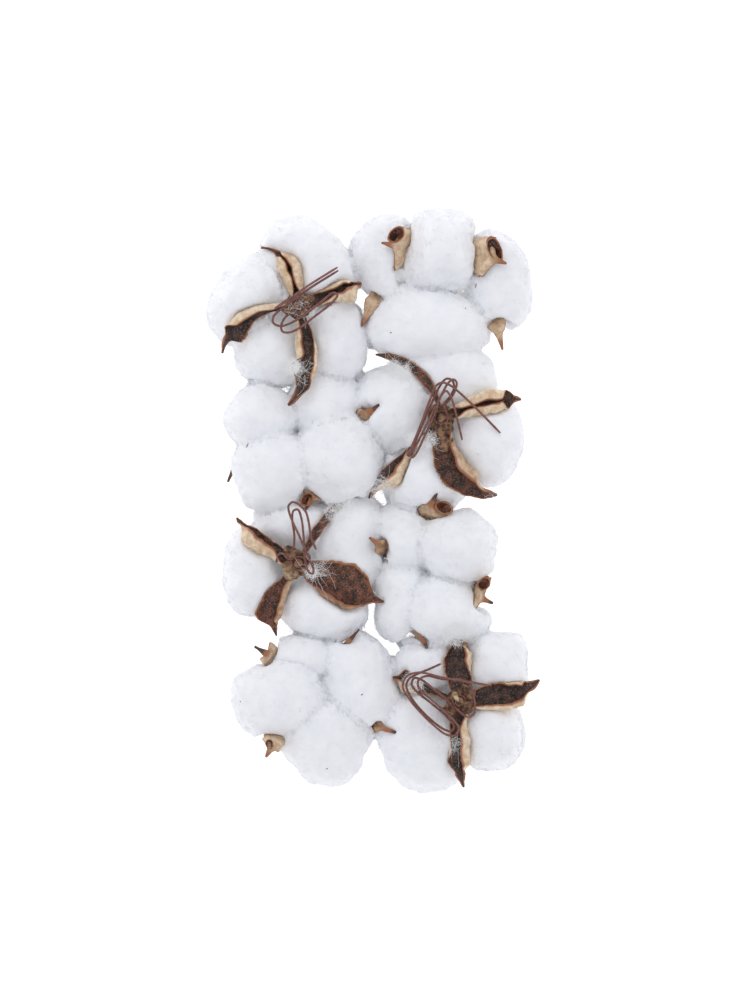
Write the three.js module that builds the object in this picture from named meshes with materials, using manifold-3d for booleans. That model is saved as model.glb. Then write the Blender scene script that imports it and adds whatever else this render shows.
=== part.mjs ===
// Eight picked, open cotton bolls laid flat, touching, in two columns of four. Four lie with
// the cotton up and four with the stalk end up. A boll is a woody burr of four carpels, four
// locks of cotton held between them, and a stem wire wound round the stub of its stalk.
// Millimetres, +Z up. The origin is on the surface that the bunch lies on, under its middle.

import * as THREE from "three";
import { mergeVertices } from "three/addons/utils/BufferGeometryUtils.js";
import Module from "manifold-3d";

const wasm = await Module();
wasm.setup();

// Driving dimensions
const WALL = 0.9; // thickness of a carpel's woody wall
const BEAK_THICK = 2.6; // how much thicker the root of a carpel's beak is
const START = 3; // where a carpel's midline leaves the burr's middle
const BASE_SHARE = 0.2; // a carpel's width at the burr's middle, as a share of its greatest
const TIGHTEST = 1.2; // smallest radius that a wall is rolled to
const SEPTUM = { thick: 0.8, depth: 3, from: 0.12, to: 0.55 }; // rib inside a carpel, as shares of its length
const FENCE = 5; // height over a carpel's midline up to which cotton stays on its own side
const STUB_RADIUS = 2.3; // cut stub of the stalk
const WIRE_RADIUS = 0.45;
const WIRE_WRAP = 3.9; // height of the wire's turn round the stub, from the burr's middle
const GAP = 0.45; // clear space between a burr or wire and the cotton it presses into
const LOCK_GAP = 0.6; // clear space between two locks
const NEIGHBOURLY = 12; // locks further apart than this take no account of each other
const SURFACE = 0; // height of the surface that the bunch lies on
const MIDDLE = [-1, -0.2]; // middle of the bunch, in the plan that the bolls below are set out in

// Shape of the cotton
const PRESS = 12; // how sharply a lock flattens against its neighbour
const SPREAD = 0.38; // how much further a lock swells towards a neighbour than into the open
const LUMP = 0.035; // height of a lock's lumps, as a share of its radius

// How finely the solids are faceted
const LOCK_DETAIL = 2;
const STATIONS = [0, 0.28, 0.57, 0.85, 1]; // along a carpel, as shares of the way to its beak
const CELLS = [[135, 2], [212, 3], [360, 4]]; // across half a carpel whose edge is rolled up to an angle
const WIRE_SIDES = 5;
const RAY_SPREAD = 0.16; // slope of the rays that feel for a burr round a lock's corner
const SLIVER = 0.12; // detail finer than this is dropped after a cut

const UP = 1;
const DOWN = -1;
const TURN = 2 * Math.PI;
const radians = THREE.MathUtils.degToRad;
const lerp = THREE.MathUtils.lerp;
const smooth = THREE.MathUtils.smoothstep;
const Z = new THREE.Vector3(0, 0, 1);
const KEEL = radians(14); // slope of a carpel's section at its midline

// A lock's middle, its half sizes along a heading, across it and upwards, and how square it is seen
// from above: 2 is an ellipse, more has fuller corners
function lock(x, y, z, along, across, tall, heading = 0, square = 2.2) {
  const centre = new THREE.Vector3(x, y, z);
  return { centre, half: [along, across, tall], heading: radians(heading), square };
}

// An edge of a carpel: its distance from the midline, the angle that it is rolled back by, how
// late across the carpel the roll begins, the shares of the carpel's length between which it is
// rolled, how late along the carpel it gets its distance, and where it is widest
function edge(half, angle, { onset = 1.6, first = 0.15, last = 0.86, grow = 1, widest = 0.6 } = {}) {
  const cells = CELLS.find(([limit]) => angle <= limit)[1];
  return { half, roll: radians(angle), onset, first, last, grow, widest, cells };
}

// A carpel leaves its burr at a heading and swings by sweep on its way out to reach, the later
// the higher hook is. Its tip ends lift towards the open side. left and right are its edges as
// seen from above, looking outwards. Its beak begins at a share of its length and is thorn wide
// from its midline there. sunk is how much lower its middle lies.
function carpel(heading, sweep, reach, lift, left, right, more = {}) {
  const { beak = 0.87, hook = 2, thorn = 1.3, sunk = 0 } = more;
  const turns = { heading: radians(heading), sweep: radians(sweep) };
  return { ...turns, reach, lift, left, right, beak, hook, thorn, sunk };
}

// The bolls, from the top of the left column down, then the right column
const bolls = [
  {
    name: "left_1",
    open: DOWN,
    at: [-38, 97, 40],
    locks: [
      lock(-34.5, 116.5, 20, 28.5, 22, 22.5, 145),
      lock(-62.5, 101.5, 19.5, 25.5, 17, 22, 54),
      lock(-52, 75.5, 19, 17.5, 17.5, 21.5),
      lock(-19.5, 80.5, 19, 20.5, 15.5, 21.5, 95),
    ],
    carpels: [
      carpel(
        102, 21, 34.5, 5,
        edge(13, 232, { onset: 1.3, first: 0, last: 0.76, grow: 0.8, widest: 0.5 }),
        edge(14, 226, { onset: 1.3, first: 0, last: 0.78, grow: 0.8, widest: 0.5 }),
        { beak: 0.85, hook: 3, thorn: 0.9 },
      ),
      carpel(
        17, 3, 33, 6,
        edge(9, 195, { onset: 1.8, widest: 0.7 }),
        edge(18, 215, { onset: 1.15, first: 0.24, last: 0.98, grow: 4, widest: 0.76 }),
        { beak: 0.94 },
      ),
      carpel(
        186, 26, 45, 4,
        edge(8.5, 30, { grow: 6, widest: 0.8 }),
        edge(11, 236, { onset: 1.15, first: 0, last: 0.73, grow: 1.2 }),
        { beak: 0.86, thorn: 1.5 },
      ),
      carpel(
        283, -19, 50, -1,
        edge(9.5, 225, { onset: 2.2, first: 0.25, last: 0.72, grow: 1.8, widest: 0.54 }),
        edge(11.5, 210, { onset: 1.4, first: 0, last: 0.52, grow: 1.3, widest: 0.36 }),
        { beak: 0.9, thorn: 1.5 },
      ),
    ],
    wire: {
      before: [
        [-18.3, 114.2, 48.6], [-33, 105, 48.6], [-46, 95.6, 48], [-50.4, 91.6, 47.6], [-50.8, 88.4, 47.4],
        [-47.6, 86.6, 47.2], [-42.6, 87.8, 47], [-34, 93, 46.6], [-25.4, 99.8, 46.6], [-20.6, 103.2, 47],
        [-18.7, 102, 47.9], [-21.6, 98, 48.4], [-30, 91.4, 48.6], [-37, 86, 48.2], [-42.6, 83.4, 47.2],
        [-46.2, 84, 46.2], [-46.6, 87.4, 45.2], [-43.6, 92, 44],
      ],
      turn: [287, 1.47],
      after: [
        [-43.8, 99.6, 46.2], [-47, 97.4, 47.2], [-49.6, 95.4, 48.6], [-48.6, 95.8, 49.7], [-46, 97.6, 49.9],
        [-33, 106.8, 49.9], [-18.6, 115.8, 49.9],
      ],
    },
  },
  {
    name: "left_2",
    open: UP,
    at: [-36, 29, 7.3],
    locks: [
      lock(-57, 40, 23, 18.5, 18, 18.5, 150),
      lock(-24.5, 48, 20, 18, 17, 17.5, 60),
      lock(-19, 20.5, 26.5, 20.5, 22.5, 20),
      lock(-52, 14.5, 26, 21, 19.5, 20, 15),
    ],
    carpels: [
      carpel(
        20, 6, 42.5, 27,
        edge(5, 90, { widest: 0.7 }),
        edge(4.5, 90, { widest: 0.7 }),
        { beak: 0.83, thorn: 1.5 },
      ),
      carpel(178, 30, 42.5, 18, edge(4, 60), edge(4, 60), { beak: 0.8 }),
      carpel(
        296, -24, 34, 28,
        edge(5, 60, { widest: 0.75 }),
        edge(8, 70, { onset: 2, widest: 0.75 }),
        { beak: 0.86, thorn: 1.5 },
      ),
      carpel(112, 6, 31, 3, edge(8, 120), edge(8, 120)),
    ],
    hank: 60,
  },
  {
    name: "left_3",
    open: DOWN,
    at: [-38, -31.5, 40],
    locks: [
      lock(-61, -36.5, 19.5, 22, 15.5, 22, 95),
      lock(-41, -12, 18.5, 18, 15.5, 21),
      lock(-14, -23, 18, 25.5, 18, 18.5, 75),
      lock(-25, -52.5, 19, 22.5, 17, 21.5),
    ],
    carpels: [
      carpel(
        151, -7, 38.5, 6,
        edge(19, 215, { onset: 1.05, first: 0.1, last: 0.95, widest: 0.62 }),
        edge(4, 60),
        { beak: 0.92 },
      ),
      carpel(62, -15, 49, 11, edge(3, 120, { widest: 0.4 }), edge(2.6, 60, { widest: 0.4 })),
      carpel(
        236, 17, 38, 9,
        edge(9.5, 215, { onset: 1.3, first: 0, last: 0.85, widest: 0.64 }),
        edge(9.5, 40, { grow: 2, widest: 0.72 }),
        { beak: 0.88, thorn: 1.6 },
      ),
      carpel(
        330, 5.5, 46.5, 7,
        edge(13, 25, { onset: 2.2, grow: 0.8, widest: 0.58 }),
        edge(15, 185, { onset: 2.2, first: 0.1, last: 0.92, grow: 0.8, widest: 0.58 }),
        { beak: 0.94 },
      ),
    ],
    wire: {
      before: [
        [-29.4, -24.6, 47.2], [-31.8, -18.6, 47.6], [-33, -11, 48], [-34.6, -5.6, 48.2], [-38, -2.2, 48.2],
        [-41, -1, 48], [-43, -2.8, 47.8], [-42.6, -6.6, 47.8], [-37.2, -19, 48.2], [-32.6, -29.8, 48.4],
        [-30.6, -34.6, 48.2], [-31, -36.6, 47.4], [-32.8, -36, 46.8], [-34.6, -31, 46.8], [-35.4, -20, 46.8],
        [-36.6, -9.4, 46.8], [-38.4, -4.8, 46.8], [-40.6, -5.4, 46.6], [-41.2, -9.6, 46.4], [-40.2, -17, 46],
        [-40.4, -22.4, 45.4], [-41.8, -27.2, 44.4],
      ],
      turn: [189, 0.76],
      after: [
        [-43, -29.4, 45.6], [-46, -26.6, 45.6], [-48.6, -27.6, 44.8], [-49, -31, 43.8],
      ],
    },
  },
  {
    name: "left_4",
    open: UP,
    at: [-28, -95.5, 7.3],
    locks: [
      lock(-37, -80.5, 22, 18.5, 14, 18, 10),
      lock(-7.5, -91.5, 23, 26, 17.5, 18.5, 112),
      lock(-48.5, -98.5, 27, 23, 19.5, 19.5, 15, 3.2),
      lock(-25, -120, 23, 24, 21.5, 18.5, 155, 2.4),
    ],
    carpels: [
      carpel(
        142, 3, 39, 31,
        edge(9, 150, { widest: 0.72 }),
        edge(8, 120, { widest: 0.72 }),
        { beak: 0.8, thorn: 1.4 },
      ),
      carpel(62, -5, 37, 29, edge(1.4, 30), edge(1.4, 30), { beak: 0.76, thorn: 1.1 }),
      carpel(
        224, 7, 42, 34,
        edge(9, 150, { onset: 1.4, widest: 0.78 }),
        edge(6.5, 60, { widest: 0.78 }),
        { beak: 0.93 },
      ),
      carpel(326, 6, 44, 28, edge(3.4, 60, { widest: 0.7 }), edge(3.2, 60, { widest: 0.7 }), { beak: 0.86 }),
    ],
    hank: 285,
  },
  {
    name: "right_1",
    open: UP,
    at: [31.5, 102, 7.3],
    locks: [
      lock(34, 125, 26, 17, 20, 20.5, 0, 3),
      lock(6.5, 119.5, 17.5, 16.5, 24, 17, 8),
      lock(61, 109.5, 17.5, 17, 24.5, 17, 12),
      lock(26.5, 87, 24, 31, 19.5, 19.5),
    ],
    carpels: [
      carpel(
        114, 23, 38.5, 30,
        edge(13, 60, { onset: 2.5, widest: 0.72 }),
        edge(12, 90, { onset: 2, widest: 0.72 }),
        { beak: 0.9, thorn: 1.5 },
      ),
      carpel(
        62, -37, 37.5, 30,
        edge(13, 90, { onset: 2, grow: 2.5, widest: 0.8 }),
        edge(11, 60, { onset: 2.5, grow: 2.5, widest: 0.8 }),
        { beak: 0.92, thorn: 1.5 },
      ),
      carpel(
        348, -28, 42, 24,
        edge(5.5, 60, { onset: 2.5, widest: 0.7 }),
        edge(4.8, 60, { onset: 2.5, widest: 0.7 }),
        { beak: 0.92, thorn: 1.1 },
      ),
      carpel(
        163, 39, 41, 22,
        edge(4.8, 60, { onset: 2.5, widest: 0.76 }),
        edge(4.2, 60, { onset: 2.5, widest: 0.76 }),
        { beak: 0.94 },
      ),
    ],
    hank: 250,
  },
  {
    name: "right_2",
    open: DOWN,
    at: [33, 41, 40],
    locks: [
      lock(10.5, 45, 19.5, 19, 23, 22, 10),
      lock(34, 62, 19, 26, 17, 21.5, 355),
      lock(57, 30, 19.5, 18.5, 23.5, 22, 350),
      lock(25, 11.5, 19.5, 22.5, 18.5, 22),
    ],
    carpels: [
      carpel(98, 38, 45.5, 7, edge(2.6, 60), edge(2.6, 60), { beak: 0.86, hook: 1, thorn: 1.5 }),
      carpel(
        20, -7, 41, 6,
        edge(15.5, 232, { onset: 1.3, first: 0.05, last: 0.78, widest: 0.62 }),
        edge(14.5, 228, { onset: 1.3, first: 0.05, last: 0.78, widest: 0.62 }),
        { beak: 0.92, thorn: 1.6 },
      ),
      carpel(
        276, 30, 47.5, 4,
        edge(18, 195, { onset: 1.35, first: 0.05, last: 0.97, widest: 0.7 }),
        edge(8.5, 40, { onset: 1.8, widest: 0.52 }),
        { beak: 0.9, thorn: 3 },
      ),
      carpel(
        224, 4, 54, 4,
        edge(20, 215, { onset: 1.25, first: 0.1, last: 0.95, grow: 5, widest: 0.72 }),
        edge(3, 30, { grow: 5, widest: 0.76 }),
        { beak: 0.9, thorn: 1.7, sunk: 5 },
      ),
    ],
    wire: {
      before: [
        [62.4, 33.4, 43], [50, 46, 47.2], [41.4, 54, 49.6], [36.8, 57.4, 50.4], [33.2, 58.4, 50.6],
        [30.2, 56.6, 50.4], [28, 51.6, 50], [22.2, 36, 47.6], [17.2, 24.2, 44.6], [16.2, 22.4, 43.6],
        [17.4, 22, 43.4], [19, 24.4, 44.4], [25.6, 37.4, 47.6], [33.4, 53, 49.2], [36.6, 58.4, 49.2],
        [39, 60, 48.8], [40.6, 58.6, 48.2], [40, 54.8, 47.6], [36.8, 49.4, 46.4], [33.6, 46.6, 44.8],
      ],
      turn: [140, 1.66],
      after: [
        [34.2, 47.4, 46.2], [37.6, 51.8, 46.2], [39.4, 56, 46.2], [38.4, 59.6, 46.4], [35.6, 60.4, 46.8],
        [32.8, 57.6, 47.4], [26.6, 44.6, 48], [19.8, 28.4, 45.4], [17.6, 22.8, 44.6], [18.6, 21.2, 43.8],
        [20.4, 23, 44], [24.6, 31.6, 45.6], [29.8, 43.4, 48.6], [33, 52, 51.2], [35.4, 54.2, 51.8],
        [38, 50.6, 51], [40.4, 42.4, 48.2], [43.4, 30, 43.6],
      ],
    },
  },
  {
    name: "right_3",
    open: UP,
    at: [27.5, -35.5, 7.3],
    locks: [
      lock(14, -19.5, 22, 14.5, 18.5, 18),
      lock(41.5, -23.5, 26.5, 19.5, 18.5, 19.5),
      lock(14, -50.5, 20, 15, 20.5, 17.5),
      lock(35.5, -55.5, 26, 20.5, 19, 19.5),
    ],
    carpels: [
      carpel(
        100, -15, 39, 29,
        edge(5, 40, { widest: 0.74 }),
        edge(11, 70, { onset: 2, widest: 0.74 }),
        { beak: 0.83, thorn: 1.8 },
      ),
      carpel(155, -4, 34.5, 32, edge(5, 60, { widest: 0.75 }), edge(4, 60, { widest: 0.75 }), { beak: 0.9 }),
      carpel(
        330, 3, 35, 33,
        edge(13, 70, { onset: 2, widest: 0.72 }),
        edge(6, 60, { widest: 0.72 }),
        { beak: 0.86, thorn: 1.6 },
      ),
      carpel(246, 22, 38.5, 25, edge(4.5, 60, { widest: 0.7 }), edge(4, 60, { widest: 0.7 }), { beak: 0.86 }),
    ],
    hank: 10,
  },
  {
    name: "right_4",
    open: DOWN,
    at: [42, -100.5, 40],
    locks: [
      lock(25, -83.5, 19.5, 14.5, 14, 22),
      lock(61, -81.5, 19.5, 16, 14.5, 22, 0, 3.4),
      lock(59, -118, 19.5, 16, 18, 22, 0, 2.8),
      lock(23.5, -120.5, 19.5, 26, 20, 22, 110),
    ],
    carpels: [
      carpel(
        94, -5, 30.5, 7,
        edge(9, 115, { onset: 2, first: 0.1, last: 0.98, widest: 0.5 }),
        edge(13.5, 195, { first: 0.3, last: 0.99, widest: 0.7 }),
        { beak: 0.97, thorn: 5 },
      ),
      carpel(
        4, 11, 41.5, 7,
        edge(11, 195, { onset: 1.9, first: 0.4, last: 0.8, grow: 0.8 }),
        edge(13.5, 200, { onset: 1.7, first: 0, last: 0.84, grow: 0.8, widest: 0.62 }),
        { beak: 0.86, thorn: 2.4 },
      ),
      carpel(
        268, 5, 43, 8,
        edge(14, 205, { onset: 1.25, first: 0, last: 0.8, grow: 0.5 }),
        edge(7, 150, { onset: 1.8, first: 0.2, last: 0.6, widest: 0.55 }),
        { beak: 0.82, thorn: 2.6 },
      ),
      carpel(
        158, 2, 35, 7,
        edge(11, 200, { onset: 1.4, first: 0.5, last: 1, grow: 5, widest: 0.8 }),
        edge(5.5, 40, { grow: 5, widest: 0.84 }),
        { beak: 0.92, thorn: 1.6, sunk: 5 },
      ),
    ],
    wire: {
      before: [
        [32.8, -81.6, 43.6], [26, -84.6, 45.2], [20.6, -86.8, 46.4], [16.8, -89.2, 46.8], [15.6, -92.8, 46.8],
        [18.8, -99.6, 46.8], [27.6, -109.2, 46.4], [34.8, -114.4, 46], [38, -115, 46], [39.4, -112.8, 46],
        [36, -108.2, 46.4], [28, -101.2, 46.8], [20.4, -95, 47], [18.2, -91.4, 47.2], [19.6, -88.6, 47.2],
        [23, -89.4, 47], [30, -94.8, 46.4], [36, -99.6, 45], [39, -103.6, 44],
      ],
      turn: [270, 0.87],
      after: [
        [43.6, -106.6, 46], [47, -108.2, 46.2], [49.6, -105.6, 46.2],
        [49.2, -98.4, 46.2], [47.6, -92.2, 46.2],
        [43, -89.6, 46.6], [33, -89, 47.8], [25.6, -87.6, 48.6], [21.6, -89.8, 48.6], [21.8, -93.4, 48.4],
        [30, -101, 48.2], [38.6, -109, 47.8], [41.6, -113.4, 47.4], [40, -117, 47.2], [36, -117, 47.2],
        [28.4, -111.4, 47.8], [17.6, -99.8, 48.4], [13.8, -92.6, 48.6], [16, -87.6, 48.8], [22, -85.8, 49],
        [34, -88.4, 49.2], [58, -92.4, 47.2],
      ],
    },
  },
];

// A boll's own directions: which way its stalk points, and a heading in the plane of the bunch
const stalkward = (boll) => Z.clone().multiplyScalar(-boll.open);
const towards = (angle) => new THREE.Vector3(Math.cos(angle), Math.sin(angle), 0);
const middle = (boll) => new THREE.Vector3(...boll.at);

// A closed surface from rows of points, each row a closed ring, with both ends capped
function ringSolid(rings) {
  const across = rings[0].length;
  const points = rings.flat();
  const faces = [];
  for (let i = 0; i < rings.length - 1; i++)
    for (let k = 0; k < across; k++) {
      const next = (k + 1) % across;
      const a = i * across + k;
      const b = i * across + next;
      faces.push(a, b, a + across, b, b + across, a + across);
    }
  const last = (rings.length - 1) * across;
  for (let k = 0; k < across / 2 - 1; k++) {
    const other = across - 1 - k;
    faces.push(k, other, k + 1, other, other - 1, k + 1);
    faces.push(last + k, last + k + 1, last + other, last + other, last + k + 1, last + other - 1);
  }
  return solid(points, faces);
}

function solid(points, faces) {
  const flat = new Float32Array(points.flatMap((p) => [p.x, p.y, p.z]));
  const geometry = new THREE.BufferGeometry().setAttribute("position", new THREE.BufferAttribute(flat, 3));
  geometry.setIndex(faces);
  return solidOf(geometry);
}

function solidOf(geometry) {
  geometry.deleteAttribute("normal");
  geometry.deleteAttribute("uv");
  const merged = mergeVertices(geometry, 1e-4);
  const vertProperties = new Float32Array(merged.attributes.position.array);
  const triVerts = new Uint32Array(merged.index.array);
  const made = new wasm.Manifold(new wasm.Mesh({ numProp: 3, vertProperties, triVerts }));
  if (made.volume() > 0) return made;
  triVerts.reverse();
  return new wasm.Manifold(new wasm.Mesh({ numProp: 3, vertProperties, triVerts }));
}

function geometryOf(made) {
  const mesh = made.getMesh();
  const geometry = new THREE.BufferGeometry();
  geometry.setAttribute("position", new THREE.BufferAttribute(new Float32Array(mesh.vertProperties), 3));
  geometry.setIndex(new THREE.BufferAttribute(new Uint32Array(mesh.triVerts), 1));
  geometry.computeVertexNormals();
  return geometry;
}

const joined = (solids) => solids.reduce((all, one) => all.add(one));

function largestPiece(made) {
  return made.decompose().reduce((best, one) => (one.volume() > best.volume() ? one : best));
}

// What is left of a solid once everything it meets is cut away
function cutBy(made, others) {
  const beside = others.filter((other) => meet(other, made));
  const left = beside.reduce((rest, other) => rest.subtract(other), made);
  return largestPiece(left);
}

// Where a carpel's midline is, s of the way from the burr's middle to the tip
function midline(boll, c, s) {
  const cup = boll.open === UP;
  const lifts = cup ? [0, -0.06 * c.lift, 1.15 * c.lift, c.lift] : [0, 1.5, c.lift + 3, c.lift];
  const outs = (cup ? [0, 0.8, 0.56, 1] : [0, 0.35, 0.72, 1]).map((share) => lerp(START, c.reach, share));
  const weights = [(1 - s) ** 3, 3 * s * (1 - s) ** 2, 3 * s * s * (1 - s), s ** 3];
  const sum = (values) => values.reduce((total, v, i) => total + v * weights[i], 0);
  const lower = c.sunk * Math.sin(Math.PI * s) ** 2;
  return middle(boll)
    .addScaledVector(towards(c.heading + c.sweep * s ** c.hook), sum(outs))
    .addScaledVector(Z, boll.open * (sum(lifts) + lower));
}

// Directions at a station: along the carpel, back to the stalk side, and across to the left
function directions(boll, c, s) {
  const step = 0.01;
  const before = midline(boll, c, Math.max(0, s - step));
  const after = midline(boll, c, Math.min(1, s + step));
  const along = after.sub(before).normalize();
  const back = stalkward(boll).addScaledVector(along, -stalkward(boll).dot(along)).normalize();
  return { along, back, side: back.clone().cross(along).multiplyScalar(-boll.open) };
}

// From the midline to an edge at a station: a blade that ends in a beak
function halfWidth(c, e, s) {
  const grown = Math.sin(Math.min(s / e.widest, 1) * (Math.PI / 2)) ** e.grow;
  const blade = e.half * lerp(BASE_SHARE, 1, grown);
  if (s < c.beak) return lerp(blade, c.thorn, smooth(s, e.widest, c.beak));
  return lerp(c.thorn, 0.5, (s - c.beak) / (1 - c.beak));
}

// How much of its full roll an edge has at a station
function rollShare(e, s) {
  const begun = lerp(0.35, 1, smooth(s, e.first - 0.15, e.first + 0.25));
  return begun * lerp(1, 0.2, smooth(s, e.last - 0.08, e.last + 0.06));
}

// How much thicker than its wall a carpel is at a station
function swelling(c, s) {
  const root = c.beak + 0.03;
  return lerp(1, BEAK_THICK, smooth(s, c.beak - 0.1, root)) * lerp(1, 0.5, smooth(s, root, 1));
}

// A station's section from the midline to one edge: points and the wall's slope at each
function halfSection(c, e, s, grow) {
  const half = halfWidth(c, e, s);
  const roll = Math.min(e.roll * rollShare(e, s), half / TIGHTEST);
  const slope = (v) => (roll + KEEL) * v ** e.onset - KEEL;
  const points = [{ out: 0, up: 0, slope: -KEEL }];
  for (let i = 1; i <= e.cells; i++) {
    const last = points[i - 1];
    const middleSlope = slope((i - 0.5) / e.cells);
    points.push({
      out: last.out + (half / e.cells) * Math.cos(middleSlope),
      up: last.up + (half / e.cells) * Math.sin(middleSlope),
      slope: slope(i / e.cells),
    });
  }
  const rim = points[e.cells];
  rim.out += grow * Math.cos(rim.slope);
  rim.up += grow * Math.sin(rim.slope);
  return points;
}

// Stations along a carpel, with one more pushed out past each end where the solid is grown
function stationsFor(shares, grow) {
  const stations = shares.map((s) => ({ s, push: 0 }));
  if (grow === 0) return stations;
  return [{ s: shares[0], push: -grow }, ...stations, { s: shares.at(-1), push: grow }];
}

function carpelSolid(boll, c, grow) {
  const stations = [...STATIONS.map((share) => share * c.beak), 1];
  const rings = stationsFor(stations, grow).map(({ s, push }) => {
    const { along, back, side } = directions(boll, c, s);
    const origin = midline(boll, c, s).addScaledVector(along, push);
    const thick = (WALL / 2) * swelling(c, s) + grow;
    const [left, right] = [c.left, c.right].map((e) => halfSection(c, e, s, grow));
    const row = [
      ...right.slice(1).reverse().map((p) => ({ ...p, hand: -1 })),
      { out: 0, up: 0, slope: 0, hand: 1 },
      ...left.slice(1).map((p) => ({ ...p, hand: 1 })),
    ];
    const offset = (p, distance) =>
      origin
        .clone()
        .addScaledVector(side, p.hand * (p.out - distance * Math.sin(p.slope)))
        .addScaledVector(back, p.up + distance * Math.cos(p.slope));
    return [...row.map((p) => offset(p, thick)), ...row.reverse().map((p) => offset(p, -thick))];
  });
  return ringSolid(rings);
}

function septumSolid(boll, c, grow) {
  const stations = [0, 0.5, 1].map((share) => lerp(SEPTUM.from, SEPTUM.to, share));
  const rings = stationsFor(stations, grow).map(({ s, push }) => {
    const { along, back, side } = directions(boll, c, s);
    const share = (s - SEPTUM.from) / (SEPTUM.to - SEPTUM.from);
    const depth = SEPTUM.depth * Math.sin(share * 2.8 + 0.2) + 0.6 + grow;
    const thick = SEPTUM.thick / 2 + grow;
    const corner = (across, down) =>
      midline(boll, c, s)
        .addScaledVector(along, push)
        .addScaledVector(side, across * thick)
        .addScaledVector(back, -down);
    return [corner(-1, 0), corner(1, 0), corner(1, depth), corner(-1, depth)];
  });
  return ringSolid(rings);
}

// A thin sheet over a carpel's midline, which cotton is kept from crossing
function fenceSolid(boll, c) {
  const rings = STATIONS.map((share) => {
    const s = lerp(0.1, 0.9, share);
    const { back, side } = directions(boll, c, s);
    const foot = midline(boll, c, s);
    const corner = (across, up) => foot.clone().addScaledVector(side, across).addScaledVector(back, up);
    return [corner(0, 0), corner(0.1, 0), corner(0.1, FENCE), corner(0, FENCE)];
  });
  return ringSolid(rings);
}

// The receptacle that the carpels grow from, and the stub of the stalk, towards +Z
function receptacleSolid(boll, grow) {
  const profile = [
    [0, -2.2 - grow], [5.2, -1.6 - grow], [6.6 + grow, 0.2], [5 + grow, 2.2 + grow],
    [STUB_RADIUS + grow, 3 + grow], [STUB_RADIUS + grow, 6.2 + grow], [0, 6.2 + grow],
  ];
  const geometry = new THREE.LatheGeometry(profile.map(([r, z]) => new THREE.Vector2(r, z)), 8);
  geometry.rotateX(Math.PI / 2);
  if (boll.open === UP) geometry.rotateX(Math.PI);
  geometry.translate(...boll.at);
  return solidOf(geometry);
}

function burrSolid(boll, grow) {
  const blades = boll.carpels.flatMap((c) => [carpelSolid(boll, c, grow), septumSolid(boll, c, grow)]);
  return joined([receptacleSolid(boll, grow), ...blades]).simplify(SLIVER);
}

// The wire's turn round the stub, from a heading and for a number of turns, climbing as it goes
function wrapPoints(boll, heading, turns) {
  const radius = STUB_RADIUS + GAP + WIRE_RADIUS;
  const rise = 2 * WIRE_RADIUS + 0.3;
  const steps = Math.ceil(turns * 7);
  return Array.from({ length: steps + 1 }, (_, i) => {
    const turned = (i / steps) * turns;
    const out = towards(radians(heading) + turned * TURN).multiplyScalar(radius);
    return middle(boll).add(out).addScaledVector(stalkward(boll), WIRE_WRAP + rise * (turned - 0.5));
  });
}

// Under a boll that lies cotton up, the wire is folded flat beneath the burr, along a heading
function hankPoints(boll, heading, ends) {
  const along = towards(radians(heading));
  const across = towards(radians(heading + 90));
  return ends.map(([u, v, z]) =>
    new THREE.Vector3(boll.at[0], boll.at[1], z).addScaledVector(along, u).addScaledVector(across, v));
}

const HANK_BEFORE = [
  [34, 3.4, 2.4], [0, 4.6, 2.4], [-15, 4.4, 2.2], [-17, 3.4, 2], [-15.4, 2.4, 1.8], [0, 3, 1.4], [17, 2.6, 1],
  [19, 1, 0.9], [17, -0.6, 0.9], [6, 0, 1.6], [4.2, 1.2, 3],
];
const HANK_AFTER = [
  [-4.4, -3.6, 1.8], [-14, -4.2, 1], [-16.4, -5.4, 0.9], [-14, -6.6, 0.9], [4, -5.6, 1.2], [24, -5.2, 1.2],
];

// A bent wire takes its steps evenly from point to point, so that bends get more than runs
class BentWire extends THREE.CatmullRomCurve3 {
  getUtoTmapping(u) {
    return u;
  }
}

function wirePoints(boll) {
  if (boll.open === DOWN) {
    const given = (list) => list.map((p) => new THREE.Vector3(...p));
    return [...given(boll.wire.before), ...wrapPoints(boll, ...boll.wire.turn), ...given(boll.wire.after)];
  }
  const first = hankPoints(boll, boll.hank, HANK_BEFORE);
  const second = hankPoints(boll, boll.hank, HANK_AFTER);
  return [...first, ...wrapPoints(boll, boll.hank + 20, 0.55), ...second];
}

function wireSolid(boll, grow) {
  const points = wirePoints(boll);
  const section = new THREE.Shape(
    Array.from({ length: WIRE_SIDES }, (_, i) => {
      const p = towards((i / WIRE_SIDES) * TURN).multiplyScalar(WIRE_RADIUS + grow);
      return new THREE.Vector2(p.x, p.y);
    }),
  );
  const extrudePath = new BentWire(points, false, "centripetal");
  return solidOf(new THREE.ExtrudeGeometry(section, { steps: points.length - 1, extrudePath }));
}

// A lock's radius when nothing presses on it
function freeRadius(one, d) {
  const [cos, sin] = [Math.cos(one.heading), Math.sin(one.heading)];
  const [along, across, tall] = one.half;
  const local = [(d.x * cos + d.y * sin) / along, (d.y * cos - d.x * sin) / across];
  const flat = local.reduce((total, v) => total + Math.abs(v) ** one.square, 0) ** (1 / one.square);
  const level = Math.sin(3.1 * d.x + one.seed) + Math.sin(3.7 * d.y + 2.3 * one.seed);
  const lumps = level + Math.sin(4.3 * d.z - one.seed);
  return (1 + LUMP * lumps) / Math.hypot(flat, d.z / tall);
}

// The flat places where a lock presses on its neighbours, midway between their surfaces
function pressWalls(one, all) {
  return all
    .filter((other) => other !== one)
    .map((other) => {
      const normal = other.centre.clone().sub(one.centre);
      const apart = normal.length();
      normal.normalize();
      const mine = freeRadius(one, normal);
      const theirs = freeRadius(other, normal.clone().negate());
      const share = smooth(mine + theirs - apart, -NEIGHBOURLY, -NEIGHBOURLY / 3);
      return { normal, distance: (apart + mine - theirs) / 2 - LOCK_GAP / 2, share };
    })
    .filter((wall) => wall.share > 0);
}

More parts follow.
